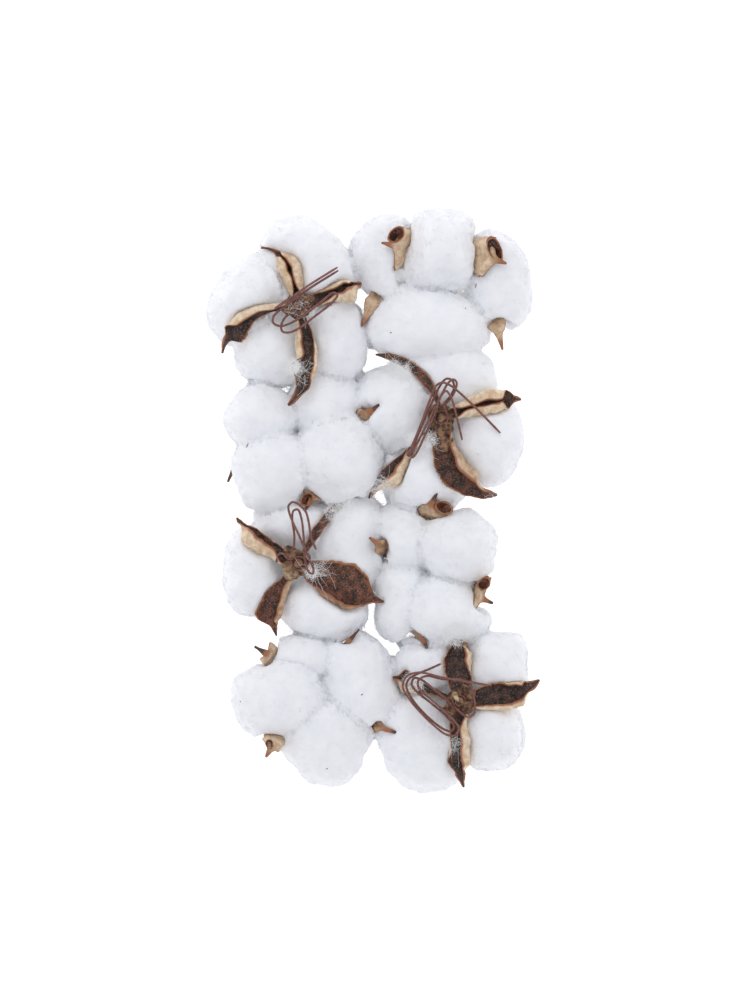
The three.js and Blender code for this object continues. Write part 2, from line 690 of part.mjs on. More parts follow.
// A lock's radius between its neighbours, before a burr stops it
function pressedRadius(one, d, walls) {
  const facings = walls.map((wall) => Math.max(wall.normal.dot(d), 0));
  const swell = Math.max(0, ...walls.map((wall, i) => wall.share * smooth(facings[i], 0.3, 0.95)));
  const free = freeRadius(one, d) * (1 + SPREAD * swell);
  const sum = walls.reduce((total, wall, i) => total + (facings[i] / wall.distance) ** PRESS, free ** -PRESS);
  return sum ** (-1 / PRESS);
}

// How far away the first triangle lies along a ray
function rayHit(origin, d, triangles) {
  const ray = new THREE.Ray(origin, d);
  const at = new THREE.Vector3();
  return triangles.reduce((nearest, [a, b, c]) => {
    const hit = ray.intersectTriangle(a, b, c, false, at);
    return hit ? Math.min(nearest, hit.distanceTo(origin)) : nearest;
  }, Infinity);
}

// The nearest hit of a bundle of rays round a direction, so that no facet dips into a burr
function bundleHit(origin, d, triangles) {
  const aside = new THREE.Vector3(-d.y, d.x, 0.01).normalize();
  const rays = [d, ...Array.from({ length: 6 }, (_, i) =>
    aside.clone().applyAxisAngle(d, (i * TURN) / 6).multiplyScalar(RAY_SPREAD).add(d).normalize())];
  return Math.min(...rays.map((ray) => rayHit(origin, ray, triangles)));
}

function trianglesOf(made) {
  const { vertProperties: v, triVerts: t } = made.getMesh();
  const corner = (i) => new THREE.Vector3(v[3 * i], v[3 * i + 1], v[3 * i + 2]);
  return Array.from({ length: t.length / 3 }, (_, i) => [0, 1, 2].map((k) => corner(t[3 * i + k])));
}

// A lock swells from its middle until it meets a neighbour, a burr or the surface below it
function lockSolid(one, all, burrs) {
  const geometry = new THREE.IcosahedronGeometry(1, LOCK_DETAIL);
  geometry.deleteAttribute("normal");
  geometry.deleteAttribute("uv");
  const ball = mergeVertices(geometry, 1e-4);
  const walls = pressWalls(one, all);
  const reach = Math.max(...one.half) * 1.2;
  const close = burrs.filter((b) => b.centre.distanceTo(one.centre) < reach + 55);
  const triangles = close.flatMap((b) => b.triangles);
  const position = ball.attributes.position;
  const d = new THREE.Vector3();
  for (let i = 0; i < position.count; i++) {
    d.fromBufferAttribute(position, i).normalize();
    const r = Math.min(pressedRadius(one, d, walls), bundleHit(one.centre, d, triangles));
    const p = one.centre.clone().addScaledVector(d, Math.max(r, 2));
    position.setXYZ(i, p.x, p.y, Math.max(p.z, SURFACE));
  }
  return solidOf(ball);
}

function meet(a, b) {
  const [p, q] = [a.boundingBox(), b.boundingBox()];
  return [0, 1, 2].every((i) => p.min[i] < q.max[i] && q.min[i] < p.max[i]);
}

const material = {
  cotton: new THREE.MeshStandardMaterial({ color: 0xf1f2f5, roughness: 0.95, metalness: 0 }),
  burr: new THREE.MeshStandardMaterial({ color: 0x5a3a28, roughness: 0.8, metalness: 0 }),
  wire: new THREE.MeshStandardMaterial({ color: 0x6b3a33, roughness: 0.5, metalness: 0 }),
};

function mesh(name, made, finish) {
  const one = new THREE.Mesh(geometryOf(made), finish);
  one.name = name;
  return one;
}

const bunch = new THREE.Group();
bunch.name = "cotton_boll_bunch";
bunch.position.set(-MIDDLE[0], -MIDDLE[1], 0);
bolls.flatMap((boll) => boll.locks).forEach((one, i) => {
  one.seed = 1.7 * (i + 1);
});
const allLocks = bolls.flatMap((boll) => boll.locks);
const burrs = bolls.map((boll) => {
  const fences = boll.carpels.map((c) => fenceSolid(boll, c));
  return { centre: middle(boll), triangles: [burrSolid(boll, 2 * GAP), ...fences].flatMap(trianglesOf) };
});
const clearances = bolls.flatMap((boll) => [burrSolid(boll, GAP), wireSolid(boll, GAP)]);
const woody = bolls.map((boll) => burrSolid(boll, 0));

bolls.forEach((boll, n) => {
  const group = new THREE.Group();
  group.name = boll.name;
  group.add(mesh(boll.name + "_burr", woody[n], material.burr));
  group.add(mesh(boll.name + "_wire", wireSolid(boll, 0), material.wire));
  boll.locks.forEach((one, i) => {
    const pressed = cutBy(lockSolid(one, allLocks, burrs), clearances).simplify(SLIVER);
    group.add(mesh(boll.name + "_lock_" + "abcd"[i], cutBy(pressed, woody), material.cotton));
  });
  bunch.add(group);
});

export default bunch;
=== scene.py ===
"""Looks for eight picked, open cotton bolls laid flat, touching, in two columns of four.

Four lie with the cotton up and four with the stalk end up. Lengths are in millimetres, in the
plan that the bunch is set out in, and become metres in the frame when a piece is made.
"""

import math
from dataclasses import dataclass

import bmesh
import bpy
import numpy as np
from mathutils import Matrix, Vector, noise
from mathutils.bvhtree import BVHTree


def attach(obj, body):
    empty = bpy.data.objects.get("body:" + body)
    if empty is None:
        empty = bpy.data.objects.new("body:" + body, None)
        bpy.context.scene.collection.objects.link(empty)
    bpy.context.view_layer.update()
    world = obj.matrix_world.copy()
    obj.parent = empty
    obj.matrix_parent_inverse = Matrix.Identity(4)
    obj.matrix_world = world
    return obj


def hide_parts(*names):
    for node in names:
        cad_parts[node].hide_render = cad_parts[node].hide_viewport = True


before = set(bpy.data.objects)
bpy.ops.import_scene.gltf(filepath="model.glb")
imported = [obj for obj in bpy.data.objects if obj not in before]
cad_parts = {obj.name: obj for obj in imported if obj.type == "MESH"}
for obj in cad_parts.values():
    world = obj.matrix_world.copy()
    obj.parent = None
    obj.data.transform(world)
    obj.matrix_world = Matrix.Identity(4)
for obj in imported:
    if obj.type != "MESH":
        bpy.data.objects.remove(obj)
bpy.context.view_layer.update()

MM = 0.001
MIDDLE = np.array([-1, -0.2, 0])  # middle of the bunch, in its plan
UP = 1
DOWN = -1
Z = np.array([0.0, 0.0, 1.0])
NEARLY_UP = Z + 0.01  # tipped a little, so that an upright way has one at right angles too

# Wood
WALL = 0.9  # thickness of a carpel at its midline
RIM = 0.45  # and at its edges
START = 3  # where a carpel's midline leaves the burr's middle
KEEL = math.radians(14)  # slope of the section at the midline
BASE_SHARE = 0.2  # a carpel's width at the hub, as a share of its greatest
TIP_WIDTH = 0.5  # half width of a beak's tip
BEAK_THICK = 2.6  # how much thicker the beak's root is than the wall
BEAK_TAPER = 0.5  # how thick its tip is, as a share of its root
BEAK_SWELL = (0.1, 0.03)  # shares of the length before and past its root in which it thickens
ROLL_AT_HUB = 0.35  # share of its roll that an edge has at the hub
ROLL_AT_TIP = 0.2
ROLL_GROWS = (0.15, 0.25)  # shares of the length before and past its first place in which it grows
ROLL_FADES = (0.08, 0.06)  # and before and past its last place in which it fades
RIM_WAVES = 7  # how many waves an edge has
RIM_RIPPLES = 19
WAVE_WIDTH = 0.1  # how much the waves widen a carpel
WAVE_ROLL = 0.14  # and roll it
RIPPLE_WIDTH = (0.09, 0.2)  # how much the ripples widen it in its middle and beside its beak
RIPPLE_GROWS = (0.3, -0.05)  # it ends before the beak's root, so its second share is below 0
WRINKLES = [(2.4, 0.32), (7, 0.7)]  # sizes and heights
WRINKLE_GROWS = (0.03, 0.2)  # shares of the length between which the wrinkles grow
FENCE = 5  # height over a carpel's midline up to which cotton stays on its own side
FENCE_THICK = 0.1
FENCE_REACH = (0.1, 0.9)  # shares of the carpel's length that it stands on
SEPTUM_REACH = (0.12, 0.55)
SEPTUM_DEPTH = 3
SEPTUM_LEAST = 0.6
SEPTUM_ARC = (0.2, 3)  # its depth follows a sine between these angles
SEPTUM_SECTION = [(-0.4, 0), (0.4, 0), (0.15, 1), (-0.15, 1)]  # aside, and share of the depth

CUP_PROFILE = [  # share of the width, share of the depth, how near the rim
    (0.03, -1, 0), (0.35, -0.97, 0.3), (0.65, -0.75, 0.6), (0.88, -0.35, 0.8), (0.96, 0, 0.95),
    (1.04, 0.06, 1), (1.12, -0.04, 1), (1.08, -0.4, 0.7), (0.85, -0.85, 0.5), (0.5, -1.12, 0.3),
    (0.03, -1.2, 0),
]
CUP_SIDES = 24
CUP_PAINTED_SHADE_ROWS = 3  # rows of faces, from the middle of an ear's hollow, that are dark: painted shade at the hollow's bottom
CUP_DEPTH = 3.2
CUP_TILT = 0.3
CUP_HEADING = 0.9  # it heads as its carpel does from this share of the length to the tip
CUP_RAISED = 2.4  # height of an ear's rim above the tip of its carpel
CUP_BUMPS = [(5, 0.9), (1.8, 0.3)]  # sizes and heights, here and below
CUP_SHADE = 0.5  # it is coloured as a carpel is halfway along

KNOB_BUMPS = [(4, 1.8), (1.6, 0.8)]
BUMP_SEEDS = (0, 7, 13)  # one for each axis
RECEPTACLE = [
    (0.4, -2.2), (2.6, -2.1), (5.0, -1.7), (6.2, -0.9), (6.6, 0.2), (6.3, 1.1), (5.6, 1.8), (4.6, 2.3),
    (3.6, 2.6), (2.7, 3.0),
]
RECEPTACLE_BUMPS = [(4, 1.3), (1.5, 0.6)]
STUB = [
    (2.5, 2.2), (2.45, 3.0), (2.3, 3.6), (2.3, 4.3), (2.25, 5.0), (2.35, 5.7), (2.25, 6.1), (1.8, 6.2),
    (0.9, 6.15), (0.2, 6.1),
]
STUB_BUMPS = [(3, 0.5), (1.2, 0.3)]
WOOD = 2  # which of a burr's finishes its hub has

# Wire
STUB_RADIUS = 2.3
WIRE_RADIUS = 0.45
WIRE_COAT = 0.13  # how much thicker its wrapping makes it
WIRE_BUMP = 1.5  # size of the wrapping's bumps
WIRE_ROUGH = 0.08  # and their height, as a share of the radius
WIRE_SEED = 3
WIRE_END = 0.7  # how thick its ends are, as a share of the rest
WIRE_WRAP = 3.9  # height of the wire's turn round the stub, from the burr's middle
WIRE_GAP = 0.45
WRAP_GAP = 0.3  # clear space between two turns
WRAP_STEPS = 7  # in a turn
HANK_TURN = 20  # degrees from a flat hank's heading to where its wire goes round the stub
HANK_TURNS = 0.55

# Cotton
SPREAD = 0.03  # how much wider a lock is towards a neighbour than into the open
HEART = {UP: 0, DOWN: 0.2}  # and towards the middle of its boll
FACING = (0.3, 0.95)  # cosines between which a direction begins to face a neighbour, and faces it
LUMP = 0.035  # height of a lock's lumps, as a share of its radius
LUMP_WAVES = [(3.1, 1), (3.7, 2.3), (4.3, -1)]  # for each axis: how many, and how the seed shifts them
FILLET = 0.9  # how softly the surfaces of touching locks run into each other
SINK = 0.16  # how gently a lock's surface sinks below its neighbour's, past their meeting line
MINGLE = 2  # how far past that line it runs on before it ends
DIVE = 6  # how steeply it then ends
WALL_GAP = 0.15  # clear space between two locks below their skins
SKIN = (4, 0.8)  # depths between which touching locks come to run into each other
RADII = (3.0, 45.0)  # least and greatest that a lock's radius is sought between
BISECTIONS = 11
STEEPEST = 60  # greatest power of e that is taken
FAR_APART = 100  # middles further apart than this belong to no neighbours
NEIGHBOURLY = 12  # locks with more space between them than this take no account of each other
CLOSE = 4  # and with less than this they do so wholly
FEELER = 3  # how far past its skin a lock feels for wood and wire
LEAST_RADIUS = 2
BURR_GAP = 0.25  # clear space between the cotton and the wood or wire it presses on
DIMPLE_SLOPE = 2  # how steeply the cotton may rise beside what dents it
DIMPLE_ROUNDS = 8
SOOTHING = 0.6  # how much each of its last rounds evens out a dent
SOOTHING_ROUNDS = 3
PUFFS = [  # sizes of the puffs in its surface, their heights, and how much more at its outline
    (14, 1.3, 0.4), (6, 0.5, 0.7), (2.6, 0.2, 0.7),
]
OUTLINE_POWER = 4  # the higher, the narrower the band that counts as outline

# Seeds of the noise, or steps between them, and of the random draws
LOCK_SEED = 1.7
BOLL_SEED = 10
CARPEL_SEED = 5
DRAW_SEED = 7

# Loose fibres on the locks
FIBRES = 2400  # on each
FIBRE_LEVEL = 0.3  # how thickly they grow on level cotton, where upright cotton has 1 more
FIBRE_BELOW = 0.2  # share of them that is left under a lock
FIBRE_TURN = -0.6  # upward part of a normal below which only that share grows
FIBRE_STAND = (0.02, 0.8)  # how far they stand off the skin
FIBRE_LEAN = 1.2  # how far they lean across a seam
FIBRE_LENGTH = (1, 5)
FIBRE_RADII = (0.04, 0.1)
FIBRE_ROOT = 0.15  # depth that they begin at
FIBRE_FLOOR = 0.02  # no fibre comes lower than this
SEAM = (3, 0.4)  # distances from a neighbour's wall between which fibres come to reach across

# Lint and flecks
TOP = 80  # higher than everything
LINT_HEIGHT = (0.2, 1.1)  # how high loose lint lies over what is below it
LINT_RADIUS = 0.045
LINT_LENGTH = (5, 12)  # of its long hairs
LINT_BEND = 12  # degrees that a hair turns at each of its steps
LINT_STEPS = 5
LINT_SIDES = 4
FLUFF_LENGTH = (1.5, 5)  # of its short fibres
FLUFF_RADII = (0.04, 0.09)
FLUFF_RISE = 2  # most that one rises or falls
FLECK_RADII = (0.05, 0.2, 0.26, 0.2, 0.05)
FLECK_SIDES = 6

# How finely the pieces are meshed
BALL_CELLS = 30
CARPEL_STATIONS = 40
CARPEL_CELLS = 13
SEPTUM_STATIONS = 14
FENCE_STATIONS = 17
RECEPTACLE_SIDES = 28
STUB_SIDES = 20
WIRE_STEPS = 5
WIRE_SIDES = 10
KNOB_CELLS = 6

# Camera, floor and light, in metres
PHOTO_HEIGHT = 0.5  # what the picture's height spans at the bolls' middle height
CAMERA_ABOVE = 5
BOLL_MIDDLE = 0.025
FLOOR_HALF = 12
SKY_COLOUR = (0.975, 0.985, 1.02, 1)
SKY_STRENGTH = 0.81
SOFTBOX_WIDTH = 1.2
SOFTBOX_WATTS = 3.3
SOFTBOX_AT = (-0.3, 1.15, 1.0)


@dataclass
class Lock:
    """A lock's middle, its half sizes along a heading, across it and upwards, and how square it is
    seen from above: 2 is an ellipse, more has fuller corners"""

    x: float
    y: float
    z: float
    along: float
    across: float
    tall: float
    heading: float
    square: float = 2.2
    seed: float = 0

    @property
    def centre(self):
        return np.array([self.x, self.y, self.z])


@dataclass
class Edge:
    """An edge of a carpel: its distance from the midline, the angle that it is rolled back by, how
    late across the carpel the roll begins, the shares of the carpel's length between which it is
    rolled, how late along the carpel it gets its distance, and where it is widest"""

    half: float
    roll: float
    onset: float = 1.6
    first: float = 0.15
    last: float = 0.86
    grow: float = 1
    widest: float = 0.6


@dataclass
class Cup:
    """A curled-in ear beside a carpel's beak: how far back from the tip and how far to the left its
    middle lies, its half length and half width, and how far it is turned from the tip's way"""

    back: float
    aside: float
    long: float
    wide: float
    turn: float = 0


@dataclass
class Carpel:
    """A carpel leaves its burr at a heading and swings by sweep on its way out to reach, the later the
    higher hook is. Its tip ends lift towards the open side. left and right are its edges as seen from
    above, looking outwards. Its beak begins at a share of its length and is thorn wide from its midline
    there. red is how reddish it is, and also how dark a tan its lining is: partly the lining's real
    colour, partly painted shade for a lining that lies in shadow. sunk is how much lower its middle lies."""

    heading: float
    sweep: float
    reach: float
    lift: float
    left: Edge
    right: Edge
    beak: float = 0.87
    red: float = 0
    hook: float = 2
    thorn: float = 1.3
    cups: tuple = ()
    sunk: float = 0


@dataclass
class Knob:
    """A lump of a burr's hub: its middle, its half width and half height, and how pale it is"""

    x: float
    y: float
    z: float
    wide: float
    tall: float
    pale: float = 0


@dataclass
class Wire:
    """A wire's bends before and after its turns round the stub: a heading and a number of turns"""

    before: list
    turn: tuple
    after: list


@dataclass
class Boll:
    name: str
    open: int
    at: tuple
    locks: list
    carpels: list
    wire: Wire = None
    hank: float = 0
    knobs: tuple = ()

    @property
    def middle(self):
        return np.array(self.at, float)

    @property
    def stalkward(self):
        return -self.open * Z


LEFT_1 = Boll(
    "left_1", DOWN, (-38, 97, 40),
    [
        Lock(-34.5, 116.5, 20, 28.5, 22, 22.5, 145), Lock(-62.5, 101.5, 19.5, 25.5, 17, 22, 54),
        Lock(-52, 75.5, 19, 17.5, 17.5, 21.5, 0), Lock(-19.5, 80.5, 19, 20.5, 15.5, 21.5, 95),
    ],
    [
        Carpel(
            102, 21, 34.5, 5, Edge(13, 232, 1.3, 0, 0.76, 0.8, 0.5),
            Edge(14, 226, 1.3, 0, 0.78, 0.8, 0.5), 0.85, 0.2, 3, 0.9,
        ),
        Carpel(
            17, 3, 33, 6, Edge(9, 195, 1.8, widest=0.7), Edge(18, 215, 1.15, 0.24, 0.98, 4, 0.76), 0.94,
        ),
        Carpel(
            186, 26, 45, 4, Edge(8.5, 30, grow=6, widest=0.8), Edge(11, 236, 1.15, 0, 0.73, 1.2, 0.6),
            0.86, thorn=1.5,
        ),
        Carpel(
            283, -19, 50, -1, Edge(9.5, 225, 2.2, 0.25, 0.72, 1.8, 0.54),
            Edge(11.5, 210, 1.4, 0, 0.52, 1.3, 0.36), 0.9, thorn=1.5,
        ),
    ],
    Wire(
        [
            (-18.3, 114.2, 48.6), (-33, 105, 48.6), (-46, 95.6, 48), (-50.4, 91.6, 47.6),
            (-50.8, 88.4, 47.4), (-47.6, 86.6, 47.2), (-42.6, 87.8, 47), (-34, 93, 46.6),
            (-25.4, 99.8, 46.6), (-20.6, 103.2, 47), (-18.7, 102, 47.9), (-21.6, 98, 48.4),
            (-30, 91.4, 48.6), (-37, 86, 48.2), (-42.6, 83.4, 47.2), (-46.2, 84, 46.2),
            (-46.6, 87.4, 45.2), (-43.6, 92, 44),
        ],
        (287, 1.47),
        [
            (-43.8, 99.6, 46.2), (-47, 97.4, 47.2), (-49.6, 95.4, 48.6), (-48.6, 95.8, 49.7),
            (-46, 97.6, 49.9), (-33, 106.8, 49.9), (-18.6, 115.8, 49.9),
        ],
    ),
    knobs=(Knob(-42.5, 95.5, 42.4, 3.8, 3.2), Knob(-34.5, 99.5, 42.6, 3.6, 3)),
)

LEFT_2 = Boll(
    "left_2", UP, (-36, 29, 7.3),
    [
        Lock(-57, 40, 23, 18.5, 18, 18.5, 150), Lock(-24.5, 48, 20, 18, 17, 17.5, 60),
        Lock(-19, 20.5, 26.5, 20.5, 22.5, 20, 0), Lock(-52, 14.5, 26, 21, 19.5, 20, 15),
    ],
    [
        Carpel(20, 6, 42.5, 27, Edge(5, 90, widest=0.7), Edge(4.5, 90, widest=0.7), 0.83, 0.9, thorn=1.5),
        Carpel(178, 30, 42.5, 18, Edge(4, 60), Edge(4, 60), 0.8, 0.5),
        Carpel(
            296, -24, 34, 28, Edge(5, 60, widest=0.75), Edge(8, 70, 2, widest=0.75), 0.86, 0.6, thorn=1.5,
            cups=(Cup(5, -2, 3.2, 2.6),),
        ),
        Carpel(112, 6, 31, 3, Edge(8, 120), Edge(8, 120)),
    ],
    hank=60,
)

LEFT_3 = Boll(
    "left_3", DOWN, (-38, -31.5, 40),
    [
        Lock(-61, -36.5, 19.5, 22, 15.5, 22, 95), Lock(-41, -12, 18.5, 18, 15.5, 21, 0),
        Lock(-14, -23, 18, 25.5, 18, 18.5, 75), Lock(-25, -52.5, 19, 22.5, 17, 21.5, 0),
    ],
    [
        Carpel(151, -7, 38.5, 6, Edge(19, 215, 1.05, 0.1, 0.95, 1, 0.62), Edge(4, 60), 0.92, 0.2),
        Carpel(62, -15, 49, 11, Edge(3, 120, widest=0.4), Edge(2.6, 60, widest=0.4), red=0.4),
        Carpel(
            236, 17, 38, 9, Edge(9.5, 215, 1.3, 0, 0.85, 1, 0.64), Edge(9.5, 40, grow=2, widest=0.72),
            0.88, 0.8, thorn=1.6,
        ),
        Carpel(
            330, 5.5, 46.5, 7, Edge(13, 25, 2.2, grow=0.8, widest=0.58),
            Edge(15, 185, 2.2, 0.1, 0.92, 0.8, 0.58), 0.94, 1,
        ),
    ],
    Wire(
        [
            (-29.4, -24.6, 47.2), (-31.8, -18.6, 47.6), (-33, -11, 48), (-34.6, -5.6, 48.2),
            (-38, -2.2, 48.2), (-41, -1, 48), (-43, -2.8, 47.8), (-42.6, -6.6, 47.8), (-37.2, -19, 48.2),
            (-32.6, -29.8, 48.4), (-30.6, -34.6, 48.2), (-31, -36.6, 47.4), (-32.8, -36, 46.8),
            (-34.6, -31, 46.8), (-35.4, -20, 46.8), (-36.6, -9.4, 46.8), (-38.4, -4.8, 46.8),
            (-40.6, -5.4, 46.6), (-41.2, -9.6, 46.4), (-40.2, -17, 46), (-40.4, -22.4, 45.4),
            (-41.8, -27.2, 44.4),
        ],
        (189, 0.76),
        [(-43, -29.4, 45.6), (-46, -26.6, 45.6), (-48.6, -27.6, 44.8), (-49, -31, 43.8)],
    ),
    knobs=(Knob(-42, -26.5, 42.4, 3.6, 2.8), Knob(-41, -34.5, 41, 5.2, 2.4, 0.4)),
)

LEFT_4 = Boll(
    "left_4", UP, (-28, -95.5, 7.3),
    [
        Lock(-37, -80.5, 22, 18.5, 14, 18, 10), Lock(-7.5, -91.5, 23, 26, 17.5, 18.5, 112),
        Lock(-48.5, -98.5, 27, 23, 19.5, 19.5, 15, 3.2), Lock(-25, -120, 23, 24, 21.5, 18.5, 155, 2.4),
    ],
    [
        Carpel(
            142, 3, 39, 31, Edge(9, 150, 1.6, widest=0.72), Edge(8, 120, widest=0.72), 0.8, 0.4,
            thorn=1.4,
        ),
        Carpel(62, -5, 37, 29, Edge(1.4, 30), Edge(1.4, 30), 0.76, 0.8, thorn=1.1),
        Carpel(
            224, 7, 42, 34, Edge(9, 150, 1.4, widest=0.78), Edge(6.5, 60, widest=0.78), 0.93, 0.3,
            cups=(Cup(6.5, -1.5, 2.3, 1.7, 20),),
        ),
        Carpel(326, 6, 44, 28, Edge(3.4, 60, widest=0.7), Edge(3.2, 60, widest=0.7), 0.86, 1),
    ],
    hank=285,
)

RIGHT_1 = Boll(
    "right_1", UP, (31.5, 102, 7.3),
    [
        Lock(34, 125, 26, 17, 20, 20.5, 0, 3), Lock(6.5, 119.5, 17.5, 16.5, 24, 17, 8),
        Lock(61, 109.5, 17.5, 17, 24.5, 17, 12), Lock(26.5, 87, 24, 31, 19.5, 19.5, 0),
    ],
    [
        Carpel(
            114, 23, 38.5, 30, Edge(13, 60, 2.5, widest=0.72), Edge(12, 90, 2, widest=0.72), 0.9, 0.35,
            thorn=1.5, cups=(Cup(6.4, -5.4, 4.4, 3.2, 55),),
        ),
        Carpel(
            62, -37, 37.5, 30, Edge(13, 90, 2, grow=2.5, widest=0.8),
            Edge(11, 60, 2.5, grow=2.5, widest=0.8), 0.92, 0.35, thorn=1.5,
            cups=(Cup(7.9, 5, 6.6, 3, -46),),
        ),
        Carpel(
            348, -28, 42, 24, Edge(5.5, 60, 2.5, widest=0.7), Edge(4.8, 60, 2.5, widest=0.7), 0.92, 0.6,
            thorn=1.1,
        ),
        Carpel(
            163, 39, 41, 22, Edge(4.8, 60, 2.5, widest=0.76), Edge(4.2, 60, 2.5, widest=0.76), 0.94, 0.6,
        ),
    ],
    hank=250,
)

RIGHT_2 = Boll(
    "right_2", DOWN, (33, 41, 40),
    [
        Lock(10.5, 45, 19.5, 19, 23, 22, 10), Lock(34, 62, 19, 26, 17, 21.5, 355),
        Lock(57, 30, 19.5, 18.5, 23.5, 22, 350), Lock(25, 11.5, 19.5, 22.5, 18.5, 22, 0),
    ],
    [
        Carpel(98, 38, 45.5, 7, Edge(2.6, 60), Edge(2.6, 60), 0.86, 0.5, 1, 1.5),
        Carpel(
            20, -7, 41, 6, Edge(15.5, 232, 1.3, 0.05, 0.78, widest=0.62),
            Edge(14.5, 228, 1.3, 0.05, 0.78, widest=0.62), 0.92, thorn=1.6,
        ),
        Carpel(
            276, 30, 47.5, 4, Edge(18, 195, 1.35, 0.05, 0.97, widest=0.7),
            Edge(8.5, 40, 1.8, widest=0.52), 0.9, 0.6, thorn=3,
        ),
        Carpel(
            224, 4, 54, 4, Edge(20, 215, 1.25, 0.1, 0.95, 5, 0.72), Edge(3, 30, grow=5, widest=0.76), 0.9,
            thorn=1.7, sunk=5,
        ),
    ],
    Wire(
        [
            (62.4, 33.4, 43), (50, 46, 47.2), (41.4, 54, 49.6), (36.8, 57.4, 50.4), (33.2, 58.4, 50.6),
            (30.2, 56.6, 50.4), (28, 51.6, 50), (22.2, 36, 47.6), (17.2, 24.2, 44.6), (16.2, 22.4, 43.6),
            (17.4, 22, 43.4), (19, 24.4, 44.4), (25.6, 37.4, 47.6), (33.4, 53, 49.2), (36.6, 58.4, 49.2),
            (39, 60, 48.8), (40.6, 58.6, 48.2), (40, 54.8, 47.6), (36.8, 49.4, 46.4), (33.6, 46.6, 44.8),
        ],
        (140, 1.66),
        [
            (34.2, 47.4, 46.2), (37.6, 51.8, 46.2), (39.4, 56, 46.2), (38.4, 59.6, 46.4),
            (35.6, 60.4, 46.8), (32.8, 57.6, 47.4), (26.6, 44.6, 48), (19.8, 28.4, 45.4),
            (17.6, 22.8, 44.6), (18.6, 21.2, 43.8), (20.4, 23, 44), (24.6, 31.6, 45.6),
            (29.8, 43.4, 48.6), (33, 52, 51.2), (35.4, 54.2, 51.8), (38, 50.6, 51), (40.4, 42.4, 48.2),
            (43.4, 30, 43.6),
        ],
    ),
    knobs=(Knob(33.3, 29.5, 42.6, 5.6, 3.6), Knob(34.5, 36, 43, 4.6, 3.2), Knob(30, 44.5, 43.5, 3.2, 3)),
)

RIGHT_3 = Boll(
    "right_3", UP, (27.5, -35.5, 7.3),
    [
        Lock(14, -19.5, 22, 14.5, 18.5, 18, 0), Lock(41.5, -23.5, 26.5, 19.5, 18.5, 19.5, 0),
        Lock(14, -50.5, 20, 15, 20.5, 17.5, 0), Lock(35.5, -55.5, 26, 20.5, 19, 19.5, 0),
    ],
    [
        Carpel(
            100, -15, 39, 29, Edge(5, 40, widest=0.74), Edge(11, 70, 2, widest=0.74), 0.83, 0.6,
            thorn=1.8, cups=(Cup(4.8, -6.2, 4.2, 3, -82),),
        ),
        Carpel(155, -4, 34.5, 32, Edge(5, 60, widest=0.75), Edge(4, 60, widest=0.75), 0.9, 1),
        Carpel(
            330, 3, 35, 33, Edge(13, 70, 2, widest=0.72), Edge(6, 60, widest=0.72), 0.86, 0.2, thorn=1.6,
            cups=(Cup(7.9, 7.2, 3.4, 2.6, 70),),
        ),
        Carpel(246, 22, 38.5, 25, Edge(4.5, 60, widest=0.7), Edge(4, 60, widest=0.7), 0.86, 0.6),
    ],
    hank=10,
)

RIGHT_4 = Boll(
    "right_4", DOWN, (42, -100.5, 40),
    [
        Lock(25, -83.5, 19.5, 14.5, 14, 22, 0), Lock(61, -81.5, 19.5, 16, 14.5, 22, 0, 3.4),
        Lock(59, -118, 19.5, 16, 18, 22, 0, 2.8), Lock(23.5, -120.5, 19.5, 26, 20, 22, 110),
    ],
    [
        Carpel(
            94, -5, 30.5, 7, Edge(9, 115, 2, 0.1, 0.98, 1, 0.5), Edge(13.5, 195, 1.6, 0.3, 0.99, 1, 0.7),
            0.97, thorn=5,
        ),
        Carpel(
            4, 11, 41.5, 7, Edge(11, 195, 1.9, 0.4, 0.8, 0.8, 0.6),
            Edge(13.5, 200, 1.7, 0, 0.84, 0.8, 0.62), 0.86, thorn=2.4,
        ),
        Carpel(
            268, 5, 43, 8, Edge(14, 205, 1.25, 0, 0.8, 0.5, 0.6), Edge(7, 150, 1.8, 0.2, 0.6, 1, 0.55),
            0.82, thorn=2.6,
        ),
        Carpel(
            158, 2, 35, 7, Edge(11, 200, 1.4, 0.5, 1, 5, 0.8), Edge(5.5, 40, grow=5, widest=0.84), 0.92,
            thorn=1.6, sunk=5,
        ),
    ],
    Wire(
        [
            (32.8, -81.6, 43.6), (26, -84.6, 45.2), (20.6, -86.8, 46.4), (16.8, -89.2, 46.8),
            (15.6, -92.8, 46.8), (18.8, -99.6, 46.8), (27.6, -109.2, 46.4), (34.8, -114.4, 46),
            (38, -115, 46), (39.4, -112.8, 46), (36, -108.2, 46.4), (28, -101.2, 46.8), (20.4, -95, 47),
            (18.2, -91.4, 47.2), (19.6, -88.6, 47.2), (23, -89.4, 47), (30, -94.8, 46.4), (36, -99.6, 45),
            (39, -103.6, 44),
        ],
        (270, 0.87),
        [
            (43.6, -106.6, 46), (47, -108.2, 46.2), (49.6, -105.6, 46.2), (49.2, -98.4, 46.2),
            (47.6, -92.2, 46.2), (43, -89.6, 46.6), (33, -89, 47.8), (25.6, -87.6, 48.6),
            (21.6, -89.8, 48.6), (21.8, -93.4, 48.4), (30, -101, 48.2), (38.6, -109, 47.8),
            (41.6, -113.4, 47.4), (40, -117, 47.2), (36, -117, 47.2), (28.4, -111.4, 47.8),
            (17.6, -99.8, 48.4), (13.8, -92.6, 48.6), (16, -87.6, 48.8), (22, -85.8, 49),
            (34, -88.4, 49.2), (58, -92.4, 47.2),
        ],
    ),
    knobs=(
        Knob(40.6, -98.6, 45.6, 1.9, 1.6, 1), Knob(46, -96, 41.6, 4, 3), Knob(45.5, -103, 42.6, 3.4, 3),
        Knob(38, -104.5, 42.4, 3.6, 2.8),
    ),
)

BOLLS = [LEFT_1, LEFT_2, LEFT_3, LEFT_4, RIGHT_1, RIGHT_2, RIGHT_3, RIGHT_4]

